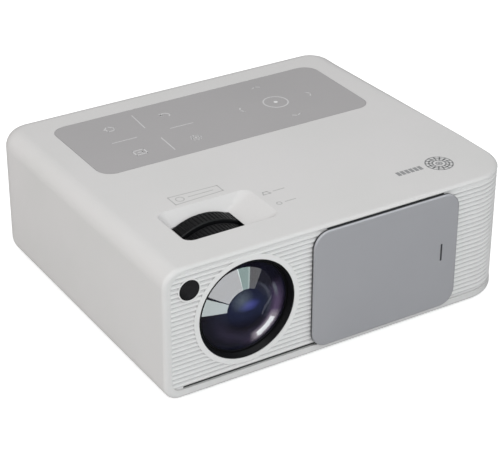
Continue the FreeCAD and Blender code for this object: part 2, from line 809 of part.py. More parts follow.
def lens_cover():
    x0, x1 = left_x + cover_from_left, left_x + cover_from_left + cover_width
    y0 = front_y - cover_proud
    y1 = y0 + cover_thickness
    z0, z1 = base_z + cover_bottom, base_z + cover_bottom + cover_height
    plate = soft_block(x0, x1, y0, y1, z0, z1, cover_corner, "y")
    rim = [e for e in plate.Edges if e.BoundBox.YMax < y0 + 0.01]
    plate = plate.makeFillet(cover_rim, rim)
    grip_x = x1 - grip_from_edge
    grip_z = (z0 + z1) / 2
    grip = soft_block(grip_x - grip_width / 2, grip_x + grip_width / 2, y0 - 1, y0 + grip_depth,
                      grip_z - grip_height / 2, grip_z + grip_height / 2, grip_width * 0.45, "y")
    plate = plate.cut(grip)
    tongue = block(x0 + cover_corner, x1 - cover_corner, y1 - 0.5,
                   front_y + rib_set_back + top_slit_depth - fit_gap, top_slit_z + fit_gap, z1)
    hooks = [block(x, x + hook_width, y1 - 0.5, panel_back_y + fit_gap,
                   base_z + groove_bottom + fit_gap, base_z + groove_bottom + groove_height - fit_gap)
             for x in cover_hook_starts()]
    return joined([plate, tongue] + hooks)


def cover_clips():
    """Two small plates behind the panel that keep the cover's hooks in their slit."""
    y0 = panel_back_y + fit_gap
    plates = [soft_block(x - 1, x + hook_width + 1, y0, y0 + 1.4, base_z + groove_bottom - 1.8,
                         base_z + groove_bottom + groove_height + 2.4, 1.0, "y")
              for x in cover_hook_starts()]
    return Part.makeCompound(plates)


# ---- lens, wheels and light engine ----

def lens_trim():
    crest = front_y + rib_set_back
    bore = barrel_front_radius + fit_gap
    points = [
        (trim_radius - trim_rim, crest + 0.05), (trim_radius - 0.3, crest + 0.05),
        (trim_radius, crest + 0.35), (trim_radius, panel_back_y + touch_gap),
        (trim_radius + trim_flange, panel_back_y + touch_gap),
        (trim_radius + trim_flange, panel_back_y + touch_gap + trim_flange_thick),
        (bore, panel_back_y + touch_gap + trim_flange_thick), (bore, crest + trim_depth - 0.6),
    ]
    inside = block(left_x, right_x, front_y, front_y + side_return, base_z + shell_wall + fit_gap,
                   ceiling_z - fit_gap)
    return turned_y(lens_x, lens_z, points).common(inside)


def barrel_front_y():
    return front_y + rib_set_back + trim_depth


def lens_barrel():
    y0 = barrel_front_y()
    seat = y0 + 0.3 + lens_glass_edge
    shoulder = y0 + barrel_front_length
    inner = y0 + inner_glass_depth
    end = y0 + barrel_length
    bore = barrel_radius - barrel_wall
    points = [
        (lens_glass_radius, y0), (barrel_front_radius, y0), (barrel_front_radius, shoulder),
        (barrel_radius, shoulder), (barrel_radius, end), (bore, end), (bore, inner + 6),
        (inner_glass_radius, inner + 6), (inner_glass_radius, inner), (inner_glass_radius + 1, inner - 2),
        (lens_glass_radius - 2.4, seat + 1.5), (lens_glass_radius - 2.4, seat), (lens_glass_radius, seat),
    ]
    solid = turned_y(lens_x, lens_z, points)
    lug_y = collar_front_y + focus_lug_back()
    near, far = barrel_radius - 0.5, barrel_radius + lug_reach
    lugs = [rod_x(lug_y, lens_z, lug_radius, lens_x + near, lens_x + far),
            rod_x(lug_y, lens_z, lug_radius, lens_x - far, lens_x - near)]
    return joined([solid] + lugs)


def focus_lug_back():
    return focus_wheel_front - collar_front + focus_wheel_width / 2


def front_lens():
    return dome_y(lens_x, lens_z, lens_glass_radius - touch_gap, lens_bulge, lens_glass_edge,
                  barrel_front_y() + 0.3, -1)


def inner_lenses():
    """The second glass behind the front one, and the rear glass at the end of the barrel."""
    second = dome_y(lens_x, lens_z, inner_glass_radius - touch_gap, inner_glass_bulge, 4.0,
                    barrel_front_y() + inner_glass_depth + 0.5, -1)
    rear = dome_y(lens_x, lens_z, barrel_radius - barrel_wall - touch_gap, 5.0, 3.0,
                  barrel_front_y() + barrel_length - 7, 1)
    return Part.makeCompound([second, rear])


def lens_collar():
    inner = barrel_radius + run_gap
    outer = inner + collar_wall
    end = engine_front_y
    points = [
        (inner, collar_front_y), (outer, collar_front_y), (outer, end - collar_flange),
        (collar_flange_radius, end - collar_flange), (collar_flange_radius, end), (inner, end),
    ]
    solid = turned_y(lens_x, lens_z, points)
    lug_y = collar_front_y + focus_lug_back()
    long, high = lug_radius + focus_stroke + fit_gap, lug_radius + fit_gap
    slot = block(lens_x - outer - 1, lens_x + outer + 1, lug_y - long, lug_y + long, lens_z - high, lens_z + high)
    side = collar_flange_radius + 1
    flat = block(lens_x - side, lens_x + side, end - collar_flange - 1, end + 1, lens_z + collar_flat,
                 lens_z + collar_flat + side)
    notch = rod_y(lens_x + push_rod_side, lens_z - push_rod_side, push_rod_radius + fit_gap,
                  end - collar_flange - 1, end + 1)
    cuts = [slot, flat, notch]
    cuts += [rod_y(x, z, screw_radius + fit_gap, end - 9, end + 1) for x, z in collar_screw_places()]
    return solid.cut(Part.makeCompound(cuts))


def collar_screw_places():
    reach = collar_flange_radius - screw_head_radius - 1.2
    return [(lens_x + reach * math.cos(a), lens_z + reach * math.sin(a))
            for a in (math.radians(d) for d in (30, 150, 210, 330))]


def knurl(solid, radius, y0, y1):
    cutters = []
    for k in range(knurl_count):
        a = 2 * math.pi * k / knurl_count
        cutters.append(rod_y(lens_x + (radius + knurl_radius * 0.3) * math.cos(a),
                             lens_z + (radius + knurl_radius * 0.3) * math.sin(a), knurl_radius, y0, y1))
    return solid.cut(Part.makeCompound(cutters))


def wheel_body(radius, y0, width):
    """A wheel with a rim, a thin web and a hub that turns on the collar."""
    bore = barrel_radius + 2 * run_gap + collar_wall
    hub = groove_radius() + wheel_hub_wall
    rim = radius - (radius - hub) * wheel_rim_share
    mid = y0 + width / 2
    half = wheel_web / 2
    points = [
        (bore, y0), (hub, y0), (hub, mid - half), (rim, mid - half), (rim, y0),
        (radius - wheel_edge, y0), (radius, y0 + wheel_edge), (radius, y0 + width - wheel_edge),
        (radius - wheel_edge, y0 + width),
        (rim, y0 + width), (rim, mid + half), (hub, mid + half), (hub, y0 + width), (bore, y0 + width),
    ]
    return turned_y(lens_x, lens_z, points)


def groove_radius():
    return barrel_radius + lug_reach + lug_room


def focus_wheel():
    y0 = front_y + focus_wheel_front
    wheel = wheel_body(focus_wheel_radius, y0, focus_wheel_width)
    wheel = knurl(wheel, focus_wheel_radius, y0 + 1.6, y0 + focus_wheel_width - 1.6)
    lug_y = y0 + focus_wheel_width / 2
    half = lug_radius + focus_stroke + fit_gap
    groove = tube_y(lens_x, lens_z, groove_radius(), barrel_radius, lug_y - half, lug_y + half)
    return wheel.cut(groove)


def keystone_front_y():
    return front_y + focus_wheel_front + focus_wheel_width + wheel_gap


def keystone_wheel():
    y0 = keystone_front_y()
    wheel = wheel_body(keystone_wheel_radius, y0, keystone_wheel_width)
    wheel = knurl(wheel, keystone_wheel_radius, y0 + 1.2, y0 + keystone_wheel_width - 2.2)
    return joined([wheel, cam_ramp()])


def cam_ramp():
    """A rising ramp low on the back of the wheel; turning the wheel brings it under the push rod."""
    y0 = wheel_back_y()
    middle = push_rod_side * math.sqrt(2)
    inner, outer = middle - ramp_width / 2, keystone_wheel_radius - fit_gap
    sections = []
    steps = 8
    span = keystone_turn + 8
    for k in range(steps + 1):
        a = math.radians(3 - 45 + span * k / steps)
        rise = 0.05 + ramp_rise * min(1.0, span * k / steps / keystone_turn)
        ring = []
        for r, y in ((inner, y0 - 1), (outer, y0 - 1), (outer, y0 + rise), (inner, y0 + rise)):
            ring.append(Vec(lens_x + r * math.cos(a), y, lens_z + r * math.sin(a)))
        sections.append(Part.makePolygon(ring + [ring[0]]))
    return Part.makeLoft(sections, True, True)


def push_rod():
    y1 = screen_y() - cradle_thick / 2 - fit_gap
    return rod_y(lens_x + push_rod_side, lens_z - push_rod_side, push_rod_radius,
                 wheel_back_y() + push_gap, y1)


def screen_y():
    return engine_back_y - screen_from_back


def cradle_pin_z():
    return lens_z + screen_height / 2 + cradle_rim / 2


def engine_base():
    wall = engine_wall
    solid = block(engine_left_x, engine_right_x, engine_front_y, engine_back_y, engine_low_z,
                  engine_high_z - wall)
    solid = solid.cut(block(engine_left_x + wall, engine_right_x - wall, engine_front_y + wall,
                            engine_back_y - wall, engine_low_z + wall, engine_high_z))
    cuts = [
        rod_y(lens_x, lens_z, barrel_radius + 0.4, engine_front_y - 1, engine_front_y + wall + 1),
        rod_y(lens_x + push_rod_side, lens_z - push_rod_side, push_rod_radius + run_gap,
              engine_front_y - 1, engine_front_y + wall + 1),
        block(lens_x - led_plate / 2 - fit_gap, lens_x + led_plate / 2 + fit_gap, engine_back_y - wall - 1,
              engine_back_y + 1, lens_z - led_plate / 2 - fit_gap, lens_z + led_plate / 2 + fit_gap),
        rod_x(screen_y(), cradle_pin_z(), cradle_pin_radius + run_gap, engine_left_x - 1, engine_right_x + 1),
    ]
    cuts += [rod_y(x, z, screw_radius + run_gap, engine_front_y - 1, engine_front_y + wall + 1)
             for x, z in collar_screw_places()]
    cuts += [rod_z(x, y, screw_radius + run_gap, engine_low_z - 1, engine_low_z + wall + 1)
             for x, y in engine_post_places()]
    return solid.cut(Part.makeCompound(cuts))


def engine_lid():
    z0 = engine_high_z - engine_wall
    inside = engine_wall + fit_gap
    top = block(engine_left_x, engine_right_x, engine_front_y, engine_back_y, z0, engine_high_z)
    rim = block(engine_left_x + inside, engine_right_x - inside, engine_front_y + inside,
                engine_back_y - inside, z0 - 2, z0)
    rim = rim.cut(block(engine_left_x + inside + 1.5, engine_right_x - inside - 1.5,
                        engine_front_y + inside + 1.5, engine_back_y - inside - 1.5, z0 - 3, z0 + 1))
    return joined([top, rim])


def inside_sheet(y0, y1):
    """A flat sheet that stands on the floor of the light engine and fills it from side to side."""
    gap = engine_wall + fit_gap
    return block(engine_left_x + gap, engine_right_x - gap, y0, y1, engine_low_z + engine_wall,
                 engine_high_z - engine_wall - 2 - fit_gap)


def fresnel_lenses():
    y = screen_y()
    front = y - lens_sheet_spacing - 1.0
    sheets = []
    for y0 in (front, y + lens_sheet_spacing):
        sheet = inside_sheet(y0, y0 + lens_sheet_thick)
        hole = rod_y(lens_x + push_rod_side, lens_z - push_rod_side, push_rod_radius + fit_gap, y0 - 1, y0 + 3)
        sheets.append(sheet.cut(hole) if y0 < y else sheet)
    return Part.makeCompound(sheets)


def lcd_cradle():
    y = screen_y()
    half_x = screen_width / 2 + cradle_rim
    half_z = screen_height / 2 + cradle_rim
    solid = block(lens_x - half_x, lens_x + half_x, y - cradle_thick / 2, y + cradle_thick / 2,
                  lens_z - half_z, lens_z + half_z)
    seat = screen_thick + touch_gap
    recess = block(lens_x - screen_width / 2 - fit_gap / 2, lens_x + screen_width / 2 + fit_gap / 2,
                   y + cradle_thick / 2 - seat, y + cradle_thick, lens_z - screen_height / 2,
                   lens_z + screen_height / 2 + fit_gap)
    view = block(lens_x - screen_width / 2 + 3, lens_x + screen_width / 2 - 3, y - cradle_thick,
                 y + cradle_thick, lens_z - screen_height / 2 + 3, lens_z + screen_height / 2 - 3)
    reach = engine_width / 2 - 0.4
    pins = [rod_x(y, cradle_pin_z(), cradle_pin_radius, lens_x + half_x - 0.5, lens_x + reach),
            rod_x(y, cradle_pin_z(), cradle_pin_radius, lens_x - reach, lens_x - half_x + 0.5)]
    return joined([solid.cut(recess).cut(view)] + pins)


def lcd_panel():
    y1 = screen_y() + cradle_thick / 2
    return block(lens_x - screen_width / 2, lens_x + screen_width / 2, y1 - screen_thick - touch_gap,
                 y1 - touch_gap, lens_z - screen_height / 2, lens_z + screen_height / 2)


def condenser_y():
    return engine_back_y - condenser_from_back


def condenser_frame():
    y0 = condenser_y()
    plate = inside_sheet(y0, y0 + 3)
    step = rod_y(lens_x, lens_z, condenser_radius + touch_gap, y0 - 1, y0 + condenser_edge)
    return plate.cut(step).cut(rod_y(lens_x, lens_z, condenser_radius - 1.5, y0, y0 + 4))


def condenser_lens():
    return dome_y(lens_x, lens_z, condenser_radius, condenser_bulge, condenser_edge, condenser_y(), -1)


def reflector():
    y0 = condenser_y() + 3
    y1 = engine_back_y - engine_wall
    wall = reflector_wall
    points = [
        (reflector_radius - wall, y0), (reflector_radius + 2, y0), (reflector_radius + 2, y0 + wall),
        (reflector_radius, y0 + wall), (reflector_throat + wall, y1), (reflector_throat, y1),
    ]
    return turned_y(lens_x, lens_z, points)


def led_module():
    y1 = engine_back_y
    half, chip = led_plate / 2, led_chip / 2
    plate = block(lens_x - half, lens_x + half, y1 - led_plate_thick, y1, lens_z - half, lens_z + half)
    light = block(lens_x - chip, lens_x + chip, y1 - led_plate_thick - 0.8, y1 - led_plate_thick,
                  lens_z - chip, lens_z + chip)
    return joined([plate, light])


def fan_back_y():
    return back_y - shell_wall - touch_gap - rear_flange_thick


def heat_sink():
    y0, y1 = engine_back_y, fan_back_y() - fan_depth
    half = sink_width / 2
    base = block(lens_x - half, lens_x + half, y0, y0 + sink_base, lens_z - half, lens_z + half)
    fins = []
    for k in range(fin_count):
        x = lens_x - half + (sink_width - fin_thick) * k / (fin_count - 1)
        fins.append(block(x, x + fin_thick, y0 + sink_base - 0.5, y1, lens_z - half, lens_z + half))
    return joined([base] + fins)


def fan_frame():
    y1 = fan_back_y()
    y0 = y1 - fan_depth
    half = fan_size / 2
    solid = soft_block(lens_x - half, lens_x + half, y0, y1, lens_z - half, lens_z + half, 3.0, "y")
    solid = solid.cut(rod_y(lens_x, lens_z, fan_bore, y0 - 1, y1 + 1))
    hub = rod_y(lens_x, lens_z, fan_hub, y0, y0 + 2)
    arms = [block(lens_x + 0.5 * fan_hub, lens_x + fan_bore + 0.5, y0, y0 + 2, lens_z - 1.2, lens_z + 1.2)
            for _ in range(4)]
    for k, arm in enumerate(arms):
        arm.rotate(Vec(lens_x, 0, lens_z), Vec(0, 1, 0), 45 + 90 * k)
    pin = rod_y(lens_x, lens_z, 1.2, y0 + 1, y0 + 9)
    solid = joined([solid, hub, pin] + arms)
    holes = [rod_y(x, z, screw_radius + run_gap, y1 - 9, y1 + 1) for x, z in fan_screw_places()]
    return solid.cut(Part.makeCompound(holes))


def fan_rotor():
    y1 = fan_back_y() - 0.6
    y0 = fan_back_y() - fan_depth + 2.4
    cup = rod_y(lens_x, lens_z, fan_hub, y0, y1).cut(rod_y(lens_x, lens_z, 1.2 + run_gap, y0 - 1, y0 + 8.5))
    tip = fan_bore - blade_gap
    blade = block(lens_x + fan_hub - 1, lens_x + tip, y0 + 1, y1 - 1, lens_z - blade_thick / 2,
                  lens_z + blade_thick / 2)
    blade.rotate(Vec(lens_x, (y0 + y1) / 2, lens_z), Vec(1, 0, 0), 38)
    blade = blade.common(tube_y(lens_x, lens_z, tip, fan_hub - 0.8, y0, y1))
    blades = []
    for k in range(blade_count):
        copy = blade.copy()
        copy.rotate(Vec(lens_x, 0, lens_z), Vec(0, 1, 0), 360 * k / blade_count)
        blades.append(copy)
    return joined([cup] + blades)


# ---- receiver ----

def receiver_window():
    y0 = front_y + rib_set_back
    return rod_y(window_x, window_z, window_radius, y0, y0 + window_thick)


def receiver_board():
    x, z, half = window_x, window_z, receiver_board_size / 2
    y0 = panel_back_y
    board = block(x - half, x + half, y0, y0 + board_thick, z - half, z + half)
    eye = rod_y(x, z, receiver_eye_radius, y0 - receiver_eye_height, y0)
    return joined([board, eye])


# ---- disc drive ----

def tray_half():
    """Half the tray's width: the disc overhangs it a little on both sides."""
    return disc_radius - 0.5


def rail_span(outer):
    """Distances of the moving or fixed rails from the drive's middle line."""
    inside = drive_width / 2 - drive_sheet
    if outer:
        return inside - rail_thick, inside
    return inside - 2 * rail_thick - run_gap * 3, inside - rail_thick - run_gap * 3


def drive_case():
    floor = block(drive_left_x, drive_right_x, drive_front_y, drive_back_y, drive_low_z,
                  drive_low_z + drive_sheet)
    roof_z = drive_high_z - drive_sheet
    walls = [
        block(drive_left_x, drive_right_x, drive_front_y, drive_front_y + drive_sheet, drive_low_z, roof_z),
        block(drive_left_x, drive_right_x, drive_back_y - drive_sheet, drive_back_y, drive_low_z, roof_z),
        block(drive_left_x, drive_left_x + drive_sheet, drive_front_y, drive_back_y, drive_low_z, roof_z),
    ]
    return joined([floor] + walls)


def drive_lid():
    return block(drive_left_x, drive_right_x, drive_front_y, drive_back_y, drive_high_z - drive_sheet,
                 drive_high_z)


def rail_pair(outer, x0, x1):
    near, far = rail_span(outer)
    z0 = drive_low_z + drive_sheet + 2.6
    bars = []
    for side in (-1, 1):
        y0, y1 = sorted((spindle_y + side * near, spindle_y + side * far))
        bars.append(block(x0, x1, y0, y1, z0, z0 + rail_height))
    return bars


def drive_rails():
    """Steel runners fixed to the side walls of the drive."""
    return Part.makeCompound(rail_pair(True, drive_left_x + 3, drive_left_x + 3 + rail_length))


def tray_rails():
    """Runners between tray and drive, which travel half as far as the tray, tied by a rear bar."""
    x0 = drive_left_x + 3
    bars = rail_pair(False, x0, x0 + rail_length)
    near, far = rail_span(False)
    z0 = drive_low_z + drive_sheet
    tie = block(x0, x0 + 6, spindle_y - far, spindle_y + far, z0 + 0.1, z0 + 0.7)
    risers = []
    for side in (-1, 1):
        y0, y1 = sorted((spindle_y + side * near, spindle_y + side * far))
        risers.append(block(x0, x0 + 6, y0, y1, z0 + 0.1, z0 + 3.0))
    return joined(bars + [tie] + risers)


def tray_floor_z():
    return drive_low_z + drive_sheet + 0.9


def well_z():
    return tray_floor_z() + tray_height - disc_well


def disc_tray():
    x0 = drive_left_x + drive_sheet + 0.2
    half = tray_half()
    z0, z1 = tray_floor_z(), tray_floor_z() + tray_height
    solid = block(x0, drive_right_x, spindle_y - half, spindle_y + half, z0, z1)
    well = rod_z(spindle_x, spindle_y, disc_radius + disc_gap, well_z(), z1 + 1)
    window = soft_block(traverse_left_x() - fit_gap, spindle_x + turntable_radius + 3,
                        spindle_y - feed_spacing - 5, spindle_y + feed_spacing + 5, z0 - 1, z1, 4.0, "z")
    lift = soft_block(drive_right_x - 24, drive_right_x - 4, spindle_y + 30, spindle_y + 44, well_z() - 2,
                      z1 + 1, 3.0, "z")
    button_y = drive_front_y + button_from_end
    pocket = block(drive_right_x - 4, drive_right_x + 1, button_y - button_width / 2 - 2,
                   button_y + button_width / 2 + 2, z0 + 1.0, z1 - 0.8)
    return solid.cut(well).cut(window).cut(lift).cut(pocket)


def traverse_left_x():
    """Left edge of the steel frame, an ear's thickness beyond the end of the pickup's way."""
    return spindle_x - sled_inner - sled_travel - sled_length / 2 - guide_ear - 0.4


def traverse_frame():
    """Steel plate under the tray's window, with the spindle hole and four ears for the guide rods."""
    z0 = tray_floor_z()
    x0 = traverse_left_x()
    x1 = spindle_x + turntable_radius + 2.8
    half = feed_spacing + 4.8
    plate = soft_block(x0, x1, spindle_y - half, spindle_y + half, z0, z0 + drive_sheet, 3.8, "z")
    ears = []
    for x in (x0, guide_right_x() - guide_ear):
        for y in guide_rod_ys():
            ears.append(block(x, x + guide_ear, y - 2.2, y + 2.2, z0, guide_z() + guide_rod_radius + 0.8))
    solid = joined([plate] + ears)
    cuts = [rod_x(y, guide_z(), guide_rod_radius + run_gap, x0 - 1, x1 + 1) for y in guide_rod_ys()]
    return solid.cut(Part.makeCompound(cuts))


def guide_rod_ys():
    """Two plain rods and, last, the feed screw."""
    return [spindle_y - guide_spacing / 2, spindle_y + guide_spacing / 2 - 3, spindle_y + feed_spacing]


def guide_z():
    return tray_floor_z() + drive_sheet + 2.2


def guide_left_x():
    return traverse_left_x() + 0.3


def guide_right_x():
    return spindle_x - sled_inner + sled_length / 2 + 2.4


def guide_rods():
    return Part.makeCompound([rod_x(y, guide_z(), guide_rod_radius, guide_left_x(), guide_right_x())
                              for y in guide_rod_ys()[:2]])


def feed_screw():
    y = guide_rod_ys()[2]
    return rod_x(y, guide_z(), guide_rod_radius, guide_left_x(), guide_right_x() + 1.0)


def feed_motor():
    y = guide_rod_ys()[2]
    x0 = guide_right_x() + fit_gap
    can = rod_x(y, guide_z() + 0.15, feed_motor_radius, x0, x0 + feed_motor_length)
    return can.cut(rod_x(y, guide_z(), guide_rod_radius + run_gap, x0 - 1, x0 + 1.2))


def pickup_sled():
    x0 = spindle_x - sled_inner - sled_length / 2
    z0 = guide_z() - 1.7
    y_low, y_mid, y_screw = guide_rod_ys()
    body = block(x0, x0 + sled_length, y_low - 2.2, y_screw + 2.0, z0, z0 + sled_height)
    eye = rod_z(x0 + sled_length / 2, spindle_y, pickup_radius, z0 + sled_height - 0.5, z0 + sled_height + 0.7)
    cuts = [rod_x(y, guide_z(), guide_rod_radius + run_gap, x0 - 1, x0 + sled_length + 1)
            for y in (y_low, y_mid, y_screw)]
    return joined([body, eye]).cut(Part.makeCompound(cuts))


def spindle_motor():
    z0 = tray_floor_z() + drive_sheet
    z1 = well_z() - turntable_thick - 0.3
    can = rod_z(spindle_x, spindle_y, spindle_motor_radius, z0, z1)
    return can.cut(rod_z(spindle_x, spindle_y, 1.5 + run_gap, z0 + 0.6, z1 + 1))


def turntable():
    z0 = tray_floor_z() + drive_sheet
    z1 = well_z() - turntable_thick
    shaft = rod_z(spindle_x, spindle_y, 1.5, z0 + 0.65, z1 + 0.5)
    plate = rod_z(spindle_x, spindle_y, turntable_radius, z1, z1 + turntable_thick)
    hub = Part.makeCone(hub_radius, hub_radius - 0.6, hub_height, Vec(spindle_x, spindle_y, z1 + 0.5))
    catches = []
    for k in range(3):
        a = math.radians(90 + 120 * k)
        catches.append(Part.makeSphere(0.9, Vec(spindle_x + (hub_radius - 0.6) * math.cos(a),
                                                spindle_y + (hub_radius - 0.6) * math.sin(a),
                                                z1 + 0.5 + hub_height * 0.66)))
    return joined([shaft, plate, hub] + catches)


def tray_bezel():
    plate = block(drive_right_x, right_x, drive_front_y, drive_back_y, drive_low_z, drive_high_z)
    face = [e for e in plate.Edges if e.BoundBox.XMin > right_x - 0.01]
    plate = plate.makeFillet(0.6, face)
    y = drive_front_y + button_from_end
    z = button_z()
    hole = block(drive_right_x - 1, right_x + 1, y - button_width / 2 - 0.15, y + button_width / 2 + 0.15,
                 z - button_height / 2 - 0.15, z + button_height / 2 + 0.15)
    pin_hole = rod_x(y + button_width, z, 0.7, drive_right_x - 1, right_x + 1)
    return plate.cut(hole).cut(pin_hole)


def button_z():
    return tray_floor_z() + tray_height / 2


def eject_button():
    y = drive_front_y + button_from_end
    z = button_z()
    cap = soft_block(drive_right_x - 1.2, right_x, y - button_width / 2, y + button_width / 2,
                     z - button_height / 2, z + button_height / 2, 0.8, "x")
    flange = block(drive_right_x - 1.4, drive_right_x - 0.3, y - button_width / 2 - 1.2,
                   y + button_width / 2 + 1.2, z - button_height / 2 - 0.6, z + button_height / 2 + 0.6)
    return joined([cap, flange])


def drive_bracket():
    """Folded steel table that carries the disc drive above the power board."""
    z1 = drive_low_z
    x0, x1 = drive_left_x, drive_right_x - bracket_inset
    plate = block(x0, x1, drive_front_y, drive_back_y, z1 - bracket_sheet, z1)
    edge = bracket_border
    middle = soft_block(x0 + edge, x1 - edge, drive_front_y + edge, drive_back_y - edge, z1 - bracket_sheet - 1,
                        z1 + 1, bracket_corner, "z")
    legs = []
    for x in (x0, x1 - bracket_leg):
        for y in (drive_front_y, drive_back_y - bracket_sheet):
            legs.append(block(x, x + bracket_leg, y, y + bracket_sheet, floor_z, z1))
            foot_y = y if y < spindle_y else y + bracket_sheet - bracket_foot
            legs.append(block(x, x + bracket_leg, foot_y, foot_y + bracket_foot, floor_z,
                              floor_z + bracket_sheet))
    return joined([plate.cut(middle)] + legs)


# ---- boards, sockets and sound ----

def main_board_area():
    x0 = engine_right_x + main_board_gap
    y1 = back_y - shell_wall - 1.0
    return x0, x0 + main_board_width, y1 - main_board_depth, y1


def main_board_z():
    return base_z + main_board_above_base


def main_board():
    x0, x1, y0, y1 = main_board_area()
    z0 = main_board_z()
    solid = block(x0, x1, y0, y1, z0, z0 + board_thick)
    notches = [rod_z(x, y, boss_radius + 0.6, z0 - 1, z0 + 3) for x, y in boss_places()]
    holes = [rod_z(x, y, screw_radius + fit_gap, z0 - 1, z0 + 3) for x, y in board_post_places()]
    return solid.cut(Part.makeCompound(notches + holes))


def main_board_parts():
    """Processor with its small heat sink, memory, inductors and the plugs on the main board."""
    x0, x1, y0, y1 = main_board_area()
    z = main_board_z() + board_thick
    cx, cy = x0 + 42, y0 + 46
    parts = [joined([block(cx - 9, cx + 9, cy - 9, cy + 9, z, z + 2)] +
                    [block(cx - 9 + k * 4, cx - 7.6 + k * 4, cy - 9, cy + 9, z + 1.5, z + 9) for k in range(5)])]
    for k in range(2):
        parts.append(block(cx + 16, cx + 26, cy - 14 + 16 * k, cy - 2 + 16 * k, z, z + 1.4))
    for k in range(3):
        parts.append(block(cx + 34, cx + 42, cy - 20 + 13 * k, cy - 12 + 13 * k, z, z + 4.5))
    for k in range(4):
        parts.append(rod_z(cx - 26, cy - 24 + 10 * k, 3.2, z, z + 9))
    for k in range(4):
        parts.append(block(cx - 10 + 15 * k, cx + 0 + 15 * k, y0 + 4, y0 + 9, z, z + 6.5))
    return Part.makeCompound(parts)


def rear_socket_row():
    """Centre x, width and height of each socket on the main board, left to right from the front."""
    x0 = main_board_area()[0]
    return [
        ("hdmi", x0 + 16, hdmi_width, hdmi_height), ("hdmi", x0 + 37, hdmi_width, hdmi_height),
        ("usb", x0 + 57, usb_width, usb_height), ("usb", x0 + 76, usb_width, usb_height),
        ("jack", x0 + 91, jack_size, jack_size), ("jack", x0 + 102, jack_size, jack_size),
    ]


def socket_windows():
    z0 = main_board_z() + board_thick
    windows = [(x, z0 + height / 2, width, height) for _, x, width, height in rear_socket_row()]
    windows.append((inlet_x, inlet_z, inlet_width, inlet_height))
    return windows


def socket_shell(x, width, height):
    z0 = main_board_z() + board_thick
    y1 = back_y - socket_face_gap
    wall = socket_wall
    solid = block(x - width / 2, x + width / 2, y1 - socket_depth, y1, z0, z0 + height)
    return solid.cut(block(x - width / 2 + wall, x + width / 2 - wall, y1 - socket_depth + 2, y1 + 1,
                           z0 + wall, z0 + height - wall))


def sockets_of(kind, side, thick, below_roof):
    """The sockets of one kind, each with its contact tongue close under the roof of the shell."""
    z0 = main_board_z() + board_thick
    y1 = back_y - socket_face_gap
    found = []
    for name, x, width, height in rear_socket_row():
        if name == kind:
            z1 = z0 + height - socket_wall - below_roof
            blade = block(x - width / 2 + side, x + width / 2 - side, y1 - socket_depth + 1,
                          y1 - 1.5, z1 - thick, z1)
            found.append(joined([socket_shell(x, width, height), blade]))
    return found


def data_sockets():
    """Two HDMI and two USB sockets: a folded shell round a tongue, open to the back."""
    return Part.makeCompound(sockets_of("hdmi", 3.0, 0.6, 1.0) + sockets_of("usb", 2.0, 1.0, 1.6))


def sound_jacks():
    z0 = main_board_z() + board_thick
    y1 = back_y - socket_face_gap
    jacks = []
    for name, x, width, height in rear_socket_row():
        if name == "jack":
            body = block(x - width / 2, x + width / 2, y1 - socket_depth, y1, z0, z0 + height)
            jacks.append(body.cut(rod_y(x, z0 + height / 2, jack_bore, y1 - 11, y1 + 1)))
    return Part.makeCompound(jacks)


def mains_inlet():
    """Two-pin appliance inlet, open to the back, with its pins inside."""
    x, z = inlet_x, inlet_z
    y1 = back_y - socket_face_gap
    solid = block(x - inlet_width / 2, x + inlet_width / 2, y1 - inlet_depth, y1, z - inlet_height / 2,
                  z + inlet_height / 2)
    mouth = soft_block(x - inlet_mouth_width / 2, x + inlet_mouth_width / 2, y1 - inlet_mouth_depth, y1 + 1,
                       z - inlet_mouth_height / 2, z + inlet_mouth_height / 2, inlet_mouth_height * 0.45, "y")
    pins = [rod_y(x + side * inlet_pin_spacing / 2, z, inlet_pin_radius, y1 - inlet_mouth_depth - 1, y1 - 3)
            for side in (-1, 1)]
    return joined([solid.cut(mouth)] + pins)


def power_board_area():
    x1 = drive_right_x - 11
    x0 = x1 - power_board_width
    y0 = drive_front_y + 5
    return x0, x1, y0, y0 + power_board_depth


def power_post_places():
    x0, x1, y0, y1 = power_board_area()
    return [(x, y) for x in (x0 + 9, x1 - 9) for y in (y0 + 9, y1 - 9)]


def power_board():
    x0, x1, y0, y1 = power_board_area()
    z0 = base_z + power_board_above_base
    return block(x0, x1, y0, y1, z0, z0 + board_thick)


def power_board_parts():
    """Transformer, smoothing capacitors, fuse, choke and heat-sinked transistor."""
    x0, x1, y0, y1 = power_board_area()
    z = base_z + power_board_above_base + board_thick
    cx, cy = (x0 + x1) / 2, (y0 + y1) / 2
    core = block(cx - 14, cx + 14, cy - 12, cy + 12, z, z + 22)
    coil = soft_block(cx - 9, cx + 9, cy - 17, cy + 17, z + 3, z + 19, 4.0, "y")
    parts = [joined([core, coil]), rod_z(cx + 32, cy + 30, 9.0, z, z + 26)]
    for k in range(3):
        parts.append(rod_z(cx - 32, cy - 30 + 15 * k, 5.0, z, z + 20))
    parts.append(rod_x(cy + 42, z + 3.2, 3.0, cx - 30, cx - 10))
    parts.append(soft_block(cx - 2, cx + 16, cy + 34, cy + 50, z, z + 16, 3.0, "z"))
    sink = block(cx + 26, cx + 29, cy - 40, cy - 6, z, z + 24)
    parts.append(joined([sink] + [block(cx + 28.5, cx + 38, cy - 40 + 6.5 * k, cy - 38.5 + 6.5 * k, z, z + 24)
                                  for k in range(6)]))
    return Part.makeCompound(parts)


